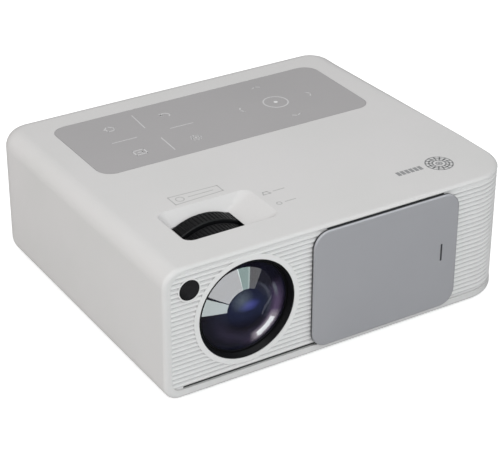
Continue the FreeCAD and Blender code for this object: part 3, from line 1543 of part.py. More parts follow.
def speaker_frame():
    """Loudspeaker on the floor of the case, firing down: mounting ring, open basket and magnet."""
    x, y = speaker_place()
    ring = rod_z(x, y, speaker_radius, floor_z, floor_z + speaker_ring)
    ring = ring.cut(rod_z(x, y, speaker_radius - speaker_lip, floor_z - 1, floor_z + speaker_ring + 1))
    low, high = floor_z + speaker_ring, floor_z + speaker_ring + speaker_basket
    wide, narrow = speaker_radius - speaker_step, magnet_radius + speaker_wall - 3
    basket = Part.makeCone(wide, narrow, speaker_basket, Vec(x, y, low))
    hollow = Part.makeCone(wide - speaker_wall, narrow - speaker_wall, speaker_basket, Vec(x, y, low))
    magnet = rod_z(x, y, magnet_radius, high - 0.5, floor_z + speaker_depth)
    return joined([ring, basket.cut(hollow), magnet])


def speaker_cone():
    x, y = speaker_place()
    wide, coil = speaker_radius - speaker_lip - fit_gap, voice_coil_radius
    low, high = floor_z + 1.2, floor_z + 6.2
    cone = Part.makeCone(wide, coil, high - low, Vec(x, y, low))
    hollow = Part.makeCone(wide - 0.4, coil - 0.6, high - low, Vec(x, y, low - 0.3))
    tube = rod_z(x, y, coil, high - 0.6, floor_z + speaker_ring + speaker_basket - 0.55).cut(
        rod_z(x, y, coil - 0.8, high - 2, floor_z + speaker_depth))
    cap = rod_z(x, y, coil, high - 1.2, high - 0.5)
    return joined([cone.cut(hollow), tube, cap])


# ---- underside ----

def rubber_feet():
    return Part.makeCompound([rod_z(x, y, foot_radius, 0, base_z) for x, y in foot_places()])


def insert(x, y, bore, wall, depth):
    outer = rod_z(x, y, bore + wall - touch_gap, base_z, base_z + depth)
    return outer.cut(rod_z(x, y, bore, base_z - 1, base_z + depth + 1))


def threaded_inserts():
    """Brass inserts: one in the middle for a tripod, four round it for a ceiling plate."""
    return Part.makeCompound([insert(0, 0, tripod_radius, tripod_wall, tripod_depth)] + [
        insert(x, y, ceiling_insert_radius, ceiling_insert_wall, ceiling_insert_depth)
        for x, y in ceiling_places()])


def leveller_pad():
    x, y = leveller_place()
    pad = rod_z(x, y, leveller_radius, 0.3, base_z - 0.2)
    return pad.cut(rod_z(x, y, leveller_screw_radius - 0.6, 1.1, base_z + 1))


def leveller_screw():
    x, y = leveller_place()
    stem = rod_z(x, y, leveller_screw_radius, base_z - 0.15, base_z + leveller_screw_length)
    neck = rod_z(x, y, leveller_screw_radius - 0.65, 1.15, base_z)
    return joined([stem, neck])


def screw_up(x, y, z_head, head_height, length):
    """A screw put in from below: countersunk head down, thread up, with a cross slot in the head."""
    head = rod_z(x, y, screw_head_radius, z_head, z_head + head_height)
    shank = rod_z(x, y, screw_radius, z_head, z_head + length)
    screw = joined([head, shank])
    slot = block(x - 1.6, x + 1.6, y - 0.35, y + 0.35, z_head - 1, z_head + 0.7)
    cross = block(x - 0.35, x + 0.35, y - 1.6, y + 1.6, z_head - 1, z_head + 0.7)
    return screw.cut(slot).cut(cross)


def bottom_screws():
    """Five short screws that close the case and four long ones that hold the light engine."""
    z = base_z + 0.1
    long = engine_low_z + engine_wall - z
    return Part.makeCompound(
        [screw_up(x, y, z, screw_head_height - 0.1, screw_length) for x, y in boss_places()] +
        [screw_up(x, y, z, screw_head_height - 0.1, long) for x, y in engine_post_places()])


def screw_along_y(x, z, y_head, towards, length):
    y0, y1 = sorted((y_head, y_head + towards * screw_head_height))
    s0, s1 = sorted((y_head, y_head + towards * length))
    screw = joined([rod_y(x, z, screw_head_radius, y0, y1), rod_y(x, z, screw_radius, s0, s1)])
    near, far = sorted((y_head - towards, y_head + towards * 0.7))
    return screw.cut(block(x - 1.6, x + 1.6, near, far, z - 0.35, z + 0.35)).cut(
        block(x - 0.35, x + 0.35, near, far, z - 1.6, z + 1.6))


def collar_screws():
    y = engine_front_y - collar_flange - screw_head_height
    length = screw_head_height + collar_flange + engine_wall
    return [screw_along_y(x, z, y, 1, length) for x, z in collar_screw_places()]


def fan_screws():
    return [screw_along_y(x, z, back_y, -1, 10.0) for x, z in fan_screw_places()]


def inside_screws():
    """Screws of the lens collar, the fan and the main board."""
    return Part.makeCompound(collar_screws() + fan_screws() + board_screws())


def board_screws():
    z = main_board_z() + board_thick
    screws = []
    for x, y in board_post_places():
        head = rod_z(x, y, screw_head_radius, z, z + screw_head_height)
        shank = rod_z(x, y, screw_radius, z - 7, z + 0.5)
        screws.append(joined([head, shank]).cut(
            block(x - 1.6, x + 1.6, y - 0.35, y + 0.35, z + screw_head_height - 0.7, z + 3)))
    return screws


pieces = [
    housing, front_panel, rear_panel, bottom_cover, control_panel, touch_board,
    lens_cover, cover_clips, lens_trim, lens_barrel, front_lens, inner_lenses,
    lens_collar, focus_wheel, keystone_wheel, push_rod, engine_base, engine_lid,
    fresnel_lenses, lcd_cradle, lcd_panel, condenser_frame, condenser_lens, reflector,
    led_module, heat_sink, fan_frame, fan_rotor, receiver_window, receiver_board,
    drive_case, drive_lid, drive_rails, tray_rails, disc_tray, traverse_frame, guide_rods,
    feed_screw, feed_motor, pickup_sled, spindle_motor, turntable, tray_bezel, eject_button,
    drive_bracket, main_board, main_board_parts, data_sockets, sound_jacks, mains_inlet,
    power_board, power_board_parts, speaker_frame, speaker_cone, rubber_feet, leveller_pad,
    leveller_screw, threaded_inserts, bottom_screws, inside_screws,
]

os.makedirs("parts", exist_ok=True)
for make in pieces:
    shape = make()
    if not shape.isValid():
        print("not valid:", make.__name__)
    shape.exportStep("parts/" + make.__name__ + ".step")
    print(make.__name__, len(shape.Solids), round(shape.Volume / 1000, 2))
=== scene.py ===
import json
import math

import bmesh
import bpy
from mathutils import Matrix, Vector


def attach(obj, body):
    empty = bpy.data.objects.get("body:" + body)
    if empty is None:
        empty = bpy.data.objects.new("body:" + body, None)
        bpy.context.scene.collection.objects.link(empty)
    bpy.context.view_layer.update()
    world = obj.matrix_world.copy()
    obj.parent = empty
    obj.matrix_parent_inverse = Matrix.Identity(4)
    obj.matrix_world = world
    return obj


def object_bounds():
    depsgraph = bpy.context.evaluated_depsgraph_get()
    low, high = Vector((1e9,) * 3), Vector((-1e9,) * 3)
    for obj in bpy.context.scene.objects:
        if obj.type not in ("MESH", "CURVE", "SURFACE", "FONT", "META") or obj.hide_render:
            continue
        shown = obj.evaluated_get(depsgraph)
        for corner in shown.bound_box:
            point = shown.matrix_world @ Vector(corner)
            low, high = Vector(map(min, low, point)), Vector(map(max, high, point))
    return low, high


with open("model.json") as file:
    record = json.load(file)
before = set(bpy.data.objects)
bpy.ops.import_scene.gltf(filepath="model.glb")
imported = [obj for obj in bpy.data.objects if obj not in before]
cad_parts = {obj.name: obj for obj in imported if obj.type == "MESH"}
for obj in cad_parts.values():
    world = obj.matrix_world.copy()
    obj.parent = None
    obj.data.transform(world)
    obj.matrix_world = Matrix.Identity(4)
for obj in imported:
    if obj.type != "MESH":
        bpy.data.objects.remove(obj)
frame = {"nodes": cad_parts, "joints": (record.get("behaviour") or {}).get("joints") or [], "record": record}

nodes = frame["nodes"]
cadLow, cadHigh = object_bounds()

# the scene is in metres; lengths given in millimetres are multiplied by this
mm = 0.001
coverProud = 2.6 * mm  # how far the sliding cover stands out of the front of the case


def findLensAxis():
    # the focus wheel turns round the lens axis
    wheel = next(joint for joint in frame["joints"] if joint["name"] == "focus_turn")
    return wheel["pos_m"]


# the case's left front corner and its top, which the printed marks are measured from, and the lens axis
lensAxis = findLensAxis()
case = {"left": round(cadLow[0], 6), "front": round(cadLow[1], 6) + coverProud, "top": round(cadHigh[2], 6),
        "lensX": lensAxis[0], "lensZ": lensAxis[2]}


# small helpers for building node trees
def newGroup(name, inputs, outputs):
    tree = bpy.data.node_groups.new(name, "ShaderNodeTree")
    for label, kind, value in inputs:
        socket = tree.interface.new_socket(label, in_out="INPUT", socket_type=kind)
        if value is not None:
            socket.default_value = value
    for label, kind in outputs:
        tree.interface.new_socket(label, in_out="OUTPUT", socket_type=kind)
    return tree, tree.nodes.new("NodeGroupInput"), tree.nodes.new("NodeGroupOutput")


def feed(tree, socket, value):
    # a socket takes another node's output or a plain value
    if isinstance(value, bpy.types.NodeSocket):
        tree.links.new(value, socket)
    elif value is not None:
        socket.default_value = value


def addNode(tree, kind, **settings):
    node = tree.nodes.new(kind)
    for name, value in settings.items():
        if name in node.inputs:
            feed(tree, node.inputs[name], value)
        else:
            setattr(node, name, value)
    return node


def mathNode(tree, operation, first, second=None, clamp=False):
    node = addNode(tree, "ShaderNodeMath", operation=operation, use_clamp=clamp)
    for socket, value in zip(node.inputs, (first, second)):
        feed(tree, socket, value)
    return node.outputs[0]


def vectorNode(tree, operation, first, second=None):
    node = addNode(tree, "ShaderNodeVectorMath", operation=operation)
    for socket, value in zip(node.inputs, (first, second)):
        feed(tree, socket, value)
    return node


# where a Mix node keeps its factor, its two values and its result
mixSockets = {"RGBA": (0, 6, 7, 2), "VECTOR": (0, 4, 5, 1)}


def mixOf(tree, factor, first, second, kind="RGBA", blend="MIX"):
    node = addNode(tree, "ShaderNodeMix", data_type=kind, blend_type=blend)
    factorAt, firstAt, secondAt, resultAt = mixSockets[kind]
    for index, value in ((factorAt, factor), (firstAt, first), (secondAt, second)):
        feed(tree, node.inputs[index], value)
    return node.outputs[resultAt]


def spread(tree, value, low, high, outLow=0.0, outHigh=1.0):
    node = addNode(tree, "ShaderNodeMapRange", clamp=True)
    sockets = {"Value": value, "From Min": low, "From Max": high, "To Min": outLow, "To Max": outHigh}
    for label, given in sockets.items():
        feed(tree, node.inputs[label], given)
    return node.outputs["Result"]


def noiseOf(tree, vector, scale, detail=2.0, rough=0.5):
    node = addNode(tree, "ShaderNodeTexNoise", Vector=vector, Scale=scale, Detail=detail, Roughness=rough)
    return node.outputs["Fac"]


def withAlpha(colour):
    return (colour[0], colour[1], colour[2], 1.0)


def rampOf(tree, value, stops, easing="LINEAR"):
    # colours along a value from 0 to 1; the first and the last stop are its ends
    ramp = addNode(tree, "ShaderNodeValToRGB")
    ramp.color_ramp.interpolation = easing
    first, *between, last = stops
    ramp.color_ramp.elements[0].color = withAlpha(first[1])
    ramp.color_ramp.elements[1].color = withAlpha(last[1])
    for at, colour in between:
        ramp.color_ramp.elements.new(at).color = withAlpha(colour)
    tree.links.new(value, ramp.inputs[0])
    return ramp.outputs[0]


# spark-eroded plastic: slow colour drift, a fine even grain, roughness that wanders a little
skinEffect = {"driftScale": 14.0, "driftDetail": 3.0, "driftRange": (0.35, 0.7), "grainDetail": 2.0,
              "grainRough": 0.55, "fleckRange": (0.3, 0.7), "fleckLevel": (0.965, 1.0), "wanderScale": 60.0,
              "wanderDetail": 4.0, "middle": 0.5}


def makeMouldedSkin(look):
    tree, given, result = newGroup("mouldedSkin", [
        ("Vector", "NodeSocketVector", None), ("Colour", "NodeSocketColor", (0.7, 0.7, 0.7, 1)),
        ("Drift Colour", "NodeSocketColor", (0.6, 0.6, 0.6, 1)), ("Drift", "NodeSocketFloat", 0.4),
        ("Grain Scale", "NodeSocketFloat", 2500.0), ("Roughness", "NodeSocketFloat", 0.5),
        ("Roughness Spread", "NodeSocketFloat", 0.08)],
        [("Colour", "NodeSocketColor"), ("Roughness", "NodeSocketFloat"), ("Height", "NodeSocketFloat")])
    place = given.outputs["Vector"]
    slow = spread(tree, noiseOf(tree, place, look["driftScale"], look["driftDetail"]), *look["driftRange"])
    grain = noiseOf(tree, place, given.outputs["Grain Scale"], look["grainDetail"], look["grainRough"])
    drift = mathNode(tree, "MULTIPLY", slow, given.outputs["Drift"])
    colour = mixOf(tree, drift, given.outputs["Colour"], given.outputs["Drift Colour"])
    fleck = spread(tree, grain, *look["fleckRange"], *look["fleckLevel"])
    tree.links.new(mixOf(tree, 1.0, colour, fleck, blend="MULTIPLY"), result.inputs["Colour"])
    slowly = noiseOf(tree, place, look["wanderScale"], look["wanderDetail"])
    wander = mathNode(tree, "SUBTRACT", slowly, look["middle"])
    amount = mathNode(tree, "MULTIPLY", wander, given.outputs["Roughness Spread"])
    tree.links.new(mathNode(tree, "ADD", amount, given.outputs["Roughness"]), result.inputs["Roughness"])
    tree.links.new(grain, result.inputs["Height"])
    return tree


# a rounded normal for sharp corners, and a mask of where they are
edgeEffect = {"samples": 4}


def makeEdgeWearAndHighlightMask(look):
    tree, given, result = newGroup("edgeWearAndHighlightMask", [
        ("Radius", "NodeSocketFloat", 0.0004), ("Strength", "NodeSocketFloat", 3.0)],
        [("Mask", "NodeSocketFloat"), ("Normal", "NodeSocketVector")])
    bevel = addNode(tree, "ShaderNodeBevel", samples=look["samples"], Radius=given.outputs["Radius"])
    flat = addNode(tree, "ShaderNodeNewGeometry")
    alike = vectorNode(tree, "DOT_PRODUCT", bevel.outputs[0], flat.outputs["Normal"]).outputs["Value"]
    away = mathNode(tree, "SUBTRACT", 1.0, alike)
    mask = mathNode(tree, "MULTIPLY", away, given.outputs["Strength"], True)
    tree.links.new(mask, result.inputs["Mask"])
    tree.links.new(bevel.outputs[0], result.inputs["Normal"])
    return tree


# fine lines along one direction, for drawn and rolled metal and for light handling marks
hairlineEffect = {"lineDetail": 3.0, "lineRough": 0.6, "lineRange": (0.3, 0.7), "cloudScale": 70.0,
                  "cloudDetail": 3.0, "cloudRange": (0.35, 0.65)}


def makeHairlines(look):
    tree, given, result = newGroup("hairlines", [
        ("Vector", "NodeSocketVector", None), ("Stretch", "NodeSocketVector", (1.0, 1.0, 1.0)),
        ("Scale", "NodeSocketFloat", 900.0)],
        [("Value", "NodeSocketFloat"), ("Cloud", "NodeSocketFloat")])
    place = given.outputs["Vector"]
    scaled = vectorNode(tree, "MULTIPLY", place, given.outputs["Stretch"]).outputs["Vector"]
    lines = noiseOf(tree, scaled, given.outputs["Scale"], look["lineDetail"], look["lineRough"])
    cloud = noiseOf(tree, place, look["cloudScale"], look["cloudDetail"])
    tree.links.new(spread(tree, lines, *look["lineRange"]), result.inputs["Value"])
    tree.links.new(spread(tree, cloud, *look["cloudRange"]), result.inputs["Cloud"])
    return tree


effects = {"skin": makeMouldedSkin(skinEffect), "edge": makeEdgeWearAndHighlightMask(edgeEffect),
           "lines": makeHairlines(hairlineEffect)}
print("shared effects built:", ", ".join(effects))


# helpers for the materials themselves
def useEffect(tree, name, **values):
    node = addNode(tree, "ShaderNodeGroup", node_tree=effects[name])
    for label, value in values.items():
        feed(tree, node.inputs[label.replace("_", " ")], value)
    return node


def newMaterial(name):
    material = bpy.data.materials.new(name)
    material.use_nodes = True
    tree = material.node_tree
    place = addNode(tree, "ShaderNodeTexCoord").outputs["Object"]
    return material, tree, tree.nodes["Principled BSDF"], place


def bumpInto(tree, shader, height, distance, normal=None):
    bump = addNode(tree, "ShaderNodeBump", Distance=distance, Height=height, Normal=normal)
    tree.links.new(bump.outputs[0], shader.inputs["Normal"])


def unevenRoughness(tree, shader, pattern, limits):
    tree.links.new(spread(tree, pattern, 0.0, 1.0, *limits), shader.inputs["Roughness"])


# moulded plastic, rubber and paper
mouldedFinishes = {
    "white_shell": {
        "colour": (0.665, 0.648, 0.648), "drift": (0.625, 0.62, 0.61), "amount": 0.5, "grain": 2600.0,
        "depth": 0.012 * mm, "roughness": 0.48, "spread": 0.08, "edgeWearAndHighlight": (0.78, 0.775, 0.77),
        "radius": 0.5 * mm, "specular": 0.42},
    "rib_white": {
        "colour": (0.732, 0.718, 0.718), "drift": (0.702, 0.687, 0.682), "amount": 0.5, "grain": 3200.0,
        "depth": 0.006 * mm, "roughness": 0.42, "spread": 0.08, "edgeWearAndHighlight": (0.78, 0.78, 0.775),
        "radius": 0.18 * mm, "specular": 0.42,
        # painted shade on the faces that look down, under each rib
        "paintedLightByFacing": ({"towards": (0, 0, -1), "facing": (0.05, 0.6), "share": 0.8,
                    "colour": (0.28, 0.28, 0.29)},)},
    "bezel_white": {
        "colour": (0.66, 0.65, 0.65), "drift": (0.625, 0.62, 0.61), "amount": 0.5, "grain": 2600.0,
        "depth": 0.012 * mm, "roughness": 0.46, "spread": 0.08, "edgeWearAndHighlight": (0.78, 0.775, 0.77),
        "radius": 0.3 * mm, "specular": 0.42},
    "grey_panel": {
        "colour": (0.405, 0.390, 0.396), "drift": (0.386, 0.374, 0.380), "amount": 0.6, "grain": 3000.0,
        "depth": 0.005 * mm, "roughness": 0.40, "spread": 0.06, "edgeWearAndHighlight": (0.46, 0.46, 0.46),
        "radius": 0.2 * mm, "specular": 0.4},
    "cover_grey": {
        "colour": (0.350, 0.345, 0.366), "drift": (0.327, 0.322, 0.343), "amount": 0.5, "grain": 3000.0,
        "depth": 0.006 * mm, "roughness": 0.40, "spread": 0.08, "edgeWearAndHighlight": (0.42, 0.43, 0.46),
        "radius": 0.4 * mm, "specular": 0.45,
        # painted shade on the faces that look right, and a painted highlight on the top rim
        "paintedLightByFacing": ({"towards": (1, 0, 0), "facing": (0.05, 0.5), "share": 0.75, "colour": (0.10, 0.10, 0.11)},
                   {"towards": (-0.25, 0, 0.97), "facing": (0.1, 0.7), "share": 0.8,
                    "colour": (0.47, 0.47, 0.50)})},
    "black_plastic": {
        "colour": (0.005, 0.005, 0.006), "drift": (0.010, 0.010, 0.011), "amount": 0.6, "grain": 2400.0,
        "depth": 0.01 * mm, "roughness": 0.42, "spread": 0.14, "edgeWearAndHighlight": (0.022, 0.022, 0.024),
        "radius": 0.3 * mm, "specular": 0.27},
    "engine_black": {
        "colour": (0.02, 0.02, 0.021), "drift": (0.035, 0.035, 0.036), "amount": 0.6, "grain": 1500.0,
        "depth": 0.03 * mm, "roughness": 0.6, "spread": 0.12, "edgeWearAndHighlight": (0.07, 0.07, 0.07),
        "radius": 0.4 * mm, "specular": 0.4},
    "tray_black": {
        "colour": (0.016, 0.016, 0.018), "drift": (0.028, 0.028, 0.03), "amount": 0.5, "grain": 1800.0,
        "depth": 0.02 * mm, "roughness": 0.5, "spread": 0.1, "edgeWearAndHighlight": (0.06, 0.06, 0.062),
        "radius": 0.3 * mm, "specular": 0.45},
    "board_parts": {
        "colour": (0.02, 0.02, 0.022), "drift": (0.05, 0.05, 0.055), "amount": 0.7, "grain": 1600.0,
        "depth": 0.02 * mm, "roughness": 0.5, "spread": 0.15, "edgeWearAndHighlight": (0.09, 0.09, 0.09),
        "radius": 0.3 * mm, "specular": 0.4},
    "feet_rubber": {
        "colour": (0.028, 0.028, 0.028), "drift": (0.05, 0.049, 0.047), "amount": 0.8, "grain": 900.0,
        "depth": 0.04 * mm, "roughness": 0.78, "spread": 0.12, "edgeWearAndHighlight": (0.09, 0.09, 0.088),
        "radius": 0.6 * mm, "specular": 0.3},
    "speaker_paper": {
        "colour": (0.02, 0.02, 0.02), "drift": (0.04, 0.038, 0.036), "amount": 0.8, "grain": 700.0,
        "depth": 0.06 * mm, "roughness": 0.85, "spread": 0.1, "edgeWearAndHighlight": (0.06, 0.06, 0.06),
        "radius": 0.4 * mm, "specular": 0.2},
}
mouldedEdgeWearAndHighlight = 1.2  # how strongly the lighter edge colour, part rubbed wear and part painted highlight, shows on edges

# painted shade in narrow slits and gaps, darker inwards; depths are counted back from the front of the case
paintedRecessShades = {
    "rib_white": (
        {"X": (-121.8 * mm, 83.5 * mm), "Z": (8.7 * mm, 10.3 * mm), "deep": (0.5 * mm, 1.7 * mm),
         "colour": (0.03, 0.03, 0.032)},),  # the slot under the ribs
    "cover_grey": (
        {"X": (72.1 * mm, 73.9 * mm), "Z": (43.4 * mm, 57.0 * mm), "deep": (-2.45 * mm, -1.9 * mm),
         "colour": (0.075, 0.075, 0.08)},  # the thumb groove
        {"X": (-30 * mm, 88 * mm), "Z": (5 * mm, 95 * mm), "deep": (-1.7 * mm, -1.1 * mm),
         "colour": (0.03, 0.03, 0.033)}),  # the flanks, close to the ribs
}


def paintFacingLight(tree, colour, look):
    # painted shade where the colour is darker, painted highlight where it is lighter, on the faces that look
    # one way
    normal = addNode(tree, "ShaderNodeTexCoord").outputs["Normal"]
    facing = vectorNode(tree, "DOT_PRODUCT", normal, look["towards"]).outputs["Value"]
    share = spread(tree, facing, *look["facing"], 0.0, look["share"])
    return mixOf(tree, share, colour, withAlpha(look["colour"]))


def paintRecessShade(tree, colour, place, look):
    # painted shade, darker inwards, inside the box given by X, Z and the depth
    apart = addNode(tree, "ShaderNodeSeparateXYZ", Vector=place)
    start, end = look["deep"]
    inside = spread(tree, apart.outputs["Y"], case["front"] + start, case["front"] + end)
    for axis in ("X", "Z"):
        for operation, limit in zip(("GREATER_THAN", "LESS_THAN"), look[axis]):
            inside = mathNode(tree, "MULTIPLY", inside, mathNode(tree, operation, apart.outputs[axis], limit))
    return mixOf(tree, inside, colour, withAlpha(look["colour"]))


def mouldedMaterial(name, look):
    material, tree, shader, place = newMaterial(name)
    skin = useEffect(tree, "skin", Vector=place, Colour=withAlpha(look["colour"]), Drift=look["amount"],
                     Drift_Colour=withAlpha(look["drift"]), Grain_Scale=look["grain"],
                     Roughness=look["roughness"], Roughness_Spread=look["spread"])
    edge = useEffect(tree, "edge", Radius=look["radius"], Strength=mouldedEdgeWearAndHighlight)
    # lighter edges: part rubbed wear, part painted highlight
    colour = mixOf(tree, edge.outputs["Mask"], skin.outputs["Colour"], withAlpha(look["edgeWearAndHighlight"]))
    # painted shade and painted highlight on faces by their facing, then painted shade in recesses
    for shade in look.get("paintedLightByFacing", ()):
        colour = paintFacingLight(tree, colour, shade)
    for recess in paintedRecessShades.get(name, ()):
        colour = paintRecessShade(tree, colour, place, recess)
    tree.links.new(colour, shader.inputs["Base Color"])
    tree.links.new(skin.outputs["Roughness"], shader.inputs["Roughness"])
    shader.inputs["Specular IOR Level"].default_value = look["specular"]
    bumpInto(tree, shader, skin.outputs["Height"], look["depth"], edge.outputs["Normal"])
    return material


# rolled, turned, cast and plated metal
metalFinishes = {
    "sheet_steel": {
        "colour": (0.50, 0.51, 0.52), "dark": (0.38, 0.39, 0.40), "stretch": (1, 14, 1), "scale": 260.0,
        "roughness": (0.28, 0.46), "radius": 0.3 * mm, "depth": 0.004 * mm},
    "screw_steel": {
        "colour": (0.30, 0.30, 0.31), "dark": (0.20, 0.20, 0.21), "stretch": (1, 1, 1), "scale": 700.0,
        "roughness": (0.3, 0.5), "radius": 0.2 * mm, "depth": 0.008 * mm},
    "aluminium": {
        "colour": (0.60, 0.61, 0.62), "dark": (0.48, 0.49, 0.50), "stretch": (9, 1, 9), "scale": 240.0,
        "roughness": (0.3, 0.5), "radius": 0.2 * mm, "depth": 0.006 * mm},
    "bright_metal": {
        "colour": (0.80, 0.81, 0.82), "dark": (0.72, 0.73, 0.74), "stretch": (1, 1, 1), "scale": 120.0,
        "roughness": (0.08, 0.16), "radius": 0.2 * mm, "depth": 0.002 * mm},
    "brass": {
        "colour": (0.62, 0.42, 0.16), "dark": (0.46, 0.30, 0.11), "stretch": (1, 1, 9), "scale": 400.0,
        "roughness": (0.25, 0.42), "radius": 0.2 * mm, "depth": 0.006 * mm},
    "led_copper": {
        "colour": (0.60, 0.52, 0.30), "dark": (0.50, 0.42, 0.22), "stretch": (1, 1, 1), "scale": 500.0,
        "roughness": (0.3, 0.5), "radius": 0.2 * mm, "depth": 0.006 * mm},
}
metalWear = {"strength": 1.0, "brighter": 1.3}


def metalMaterial(name, look):
    material, tree, shader, place = newMaterial(name)
    lines = useEffect(tree, "lines", Vector=place, Stretch=look["stretch"], Scale=look["scale"])
    edge = useEffect(tree, "edge", Radius=look["radius"], Strength=metalWear["strength"])
    stained = mixOf(tree, lines.outputs["Cloud"], withAlpha(look["colour"]), withAlpha(look["dark"]))
    bright = tuple(min(1.0, part * metalWear["brighter"]) for part in look["colour"])
    tree.links.new(mixOf(tree, edge.outputs["Mask"], stained, withAlpha(bright)), shader.inputs["Base Color"])
    unevenRoughness(tree, shader, lines.outputs["Value"], look["roughness"])
    shader.inputs["Metallic"].default_value = 1.0
    bumpInto(tree, shader, lines.outputs["Value"], look["depth"], edge.outputs["Normal"])
    return material


# solder-masked board: straight traces under the lacquer and a scatter of tinned points
boardFinish = {"mask": (0.012, 0.10, 0.035), "trace": (0.03, 0.19, 0.07), "bare": (0.50, 0.42, 0.20),
               "traceScale": 330.0, "traceBands": 3.0, "traceEdge": (0.45, 0.55), "dotScale": 260.0,
               "dotEdge": (0.16, 0.2), "roughness": (0.32, 0.42), "depth": 0.03 * mm}


def boardMaterial(name, look):
    material, tree, shader, place = newMaterial(name)
    cells = addNode(tree, "ShaderNodeTexVoronoi", distance="MANHATTAN", feature="F1",
                    Scale=look["traceScale"], Vector=place)
    bands = mathNode(tree, "FRACT", mathNode(tree, "MULTIPLY", cells.outputs["Distance"], look["traceBands"]))
    trace = spread(tree, bands, *look["traceEdge"])
    dots = addNode(tree, "ShaderNodeTexVoronoi", feature="F1", Scale=look["dotScale"], Vector=place)
    tinned = spread(tree, dots.outputs["Distance"], *look["dotEdge"], 1.0, 0.0)
    green = mixOf(tree, trace, withAlpha(look["mask"]), withAlpha(look["trace"]))
    tree.links.new(mixOf(tree, tinned, green, withAlpha(look["bare"])), shader.inputs["Base Color"])
    tree.links.new(tinned, shader.inputs["Metallic"])
    unevenRoughness(tree, shader, trace, look["roughness"])
    bumpInto(tree, shader, trace, look["depth"])
    return material


# clear condenser and Fresnel glass, and the dark screen
glassFinishes = {
    "optic_glass": {"tint": (0.86, 0.92, 0.94), "haze": (0.75, 0.84, 0.88), "roughness": (0.01, 0.05),
                    "ior": 1.5, "clear": 0.9, "streaks": 300.0},
    "screen_glass": {"tint": (0.05, 0.05, 0.06), "haze": (0.09, 0.09, 0.10), "roughness": (0.03, 0.1),
                     "ior": 1.5, "clear": 0.9, "streaks": 300.0},
}


def evenLines(tree, place, scale):
    # smears and dust on glass, the same in every direction
    return useEffect(tree, "lines", Vector=place, Stretch=(1, 1, 1), Scale=scale)


def glassMaterial(name, look):
    material, tree, shader, place = newMaterial(name)
    lines = evenLines(tree, place, look["streaks"])
    tree.links.new(mixOf(tree, lines.outputs["Cloud"], withAlpha(look["tint"]), withAlpha(look["haze"])),
                   shader.inputs["Base Color"])
    unevenRoughness(tree, shader, lines.outputs["Value"], look["roughness"])
    shader.inputs["Transmission Weight"].default_value = look["clear"]
    shader.inputs["IOR"].default_value = look["ior"]
    return material


# coated front glass, with painted reflections and a painted highlight in its colour; places on it are counted
# from the lens axis, to the right and up
lensFinish = {
    # blueReflection and tealReflection are painted reflections in the glass's colour
    "blueReflection": (0.19, 0.21, 0.84), "dome": (0.035, 0.045, 0.11), "ring": (0.012, 0.009, 0.022), "domeStop": 0.32,
    "blueReflectionAt": (2.2 * mm, 1.8 * mm), "blueReflectionSquash": 1.9, "radius": 31.0 * mm,
    "tealReflection": (0.30, 0.36, 0.44), "tealReflectionAt": (-3.0 * mm, 6.5 * mm), "tealReflectionReach": 9.0 * mm, "tealReflectionShare": 0.75,
    "streaks": 500.0, "mottle": 0.35, "roughness": (0.0, 0.02), "ior": 1.52, "clear": 0.62,
    "coatIor": 2.05, "coatRoughness": 0.03, "domeCoat": 0.25,
    "domeRadius": 13.7 * mm, "domeSlope": 0.2, "ringSlope": 0.5, "lift": 0.3, "forward": 0.866,
    # gleam: a hollow spot that mirrors a lamp, with a painted highlight in its colour
    "gleam": {"towards": (0.64, -0.77), "spread": (0.86, 0.955), "at": 24.6 * mm,
              "half": (2.0 * mm, 4.9 * mm), "colour": (0.98, 0.86, 0.98)},
    "gleamNormal": (-0.40, -0.80, 0.36),
}

# painted reflections, faint bows seen in the glass: where they point, how far they run, radius, half width,
# colour
lensPaintedReflections = (
    {"towards": (0.85, -0.53), "spread": (0.40, 0.98), "at": 24.0 * mm, "half": (1.0 * mm, 6.5 * mm),
     "colour": (0.33, 0.22, 0.43)},
    {"towards": (-0.2, -0.98), "spread": (0.20, 0.90), "at": 21.0 * mm, "half": (0.5 * mm, 6.0 * mm),
     "colour": (0.065, 0.052, 0.11)},
    {"towards": (0.98, 0.2), "spread": (0.55, 0.95), "at": 17.8 * mm, "half": (0.3 * mm, 1.8 * mm),
     "colour": (0.16, 0.17, 0.24)},
    {"towards": (0.96, 0.28), "spread": (0.965, 0.998), "at": 23.5 * mm, "half": (0.4 * mm, 1.7 * mm),
     "colour": (0.38, 0.40, 0.48)},
)


def fromLensAxis(tree, place, beside=(0.0, 0.0), squash=1.0):
    # the way to a point from the lens axis, which runs along Y, or from beside it; heights count more
    # where it is squashed
    centre = (case["lensX"] + beside[0], 0.0, case["lensZ"] + beside[1])
    arrow = vectorNode(tree, "SUBTRACT", place, centre).outputs["Vector"]
    return vectorNode(tree, "MULTIPLY", arrow, (1.0, 0.0, squash)).outputs["Vector"]


def lengthOf(tree, arrow):
    return vectorNode(tree, "LENGTH", arrow).outputs["Value"]


def bowMask(tree, outward, radius, bow):
    # part of a circle round the lens axis, soft at its ends and at both sides
    across, up = bow["towards"]
    turned = vectorNode(tree, "DOT_PRODUCT", outward, (across, 0.0, up)).outputs["Value"]
    along = spread(tree, turned, *bow["spread"])
    off = mathNode(tree, "ABSOLUTE", mathNode(tree, "SUBTRACT", radius, bow["at"]))
    return mathNode(tree, "MULTIPLY", along, spread(tree, off, *bow["half"], 1.0, 0.0))


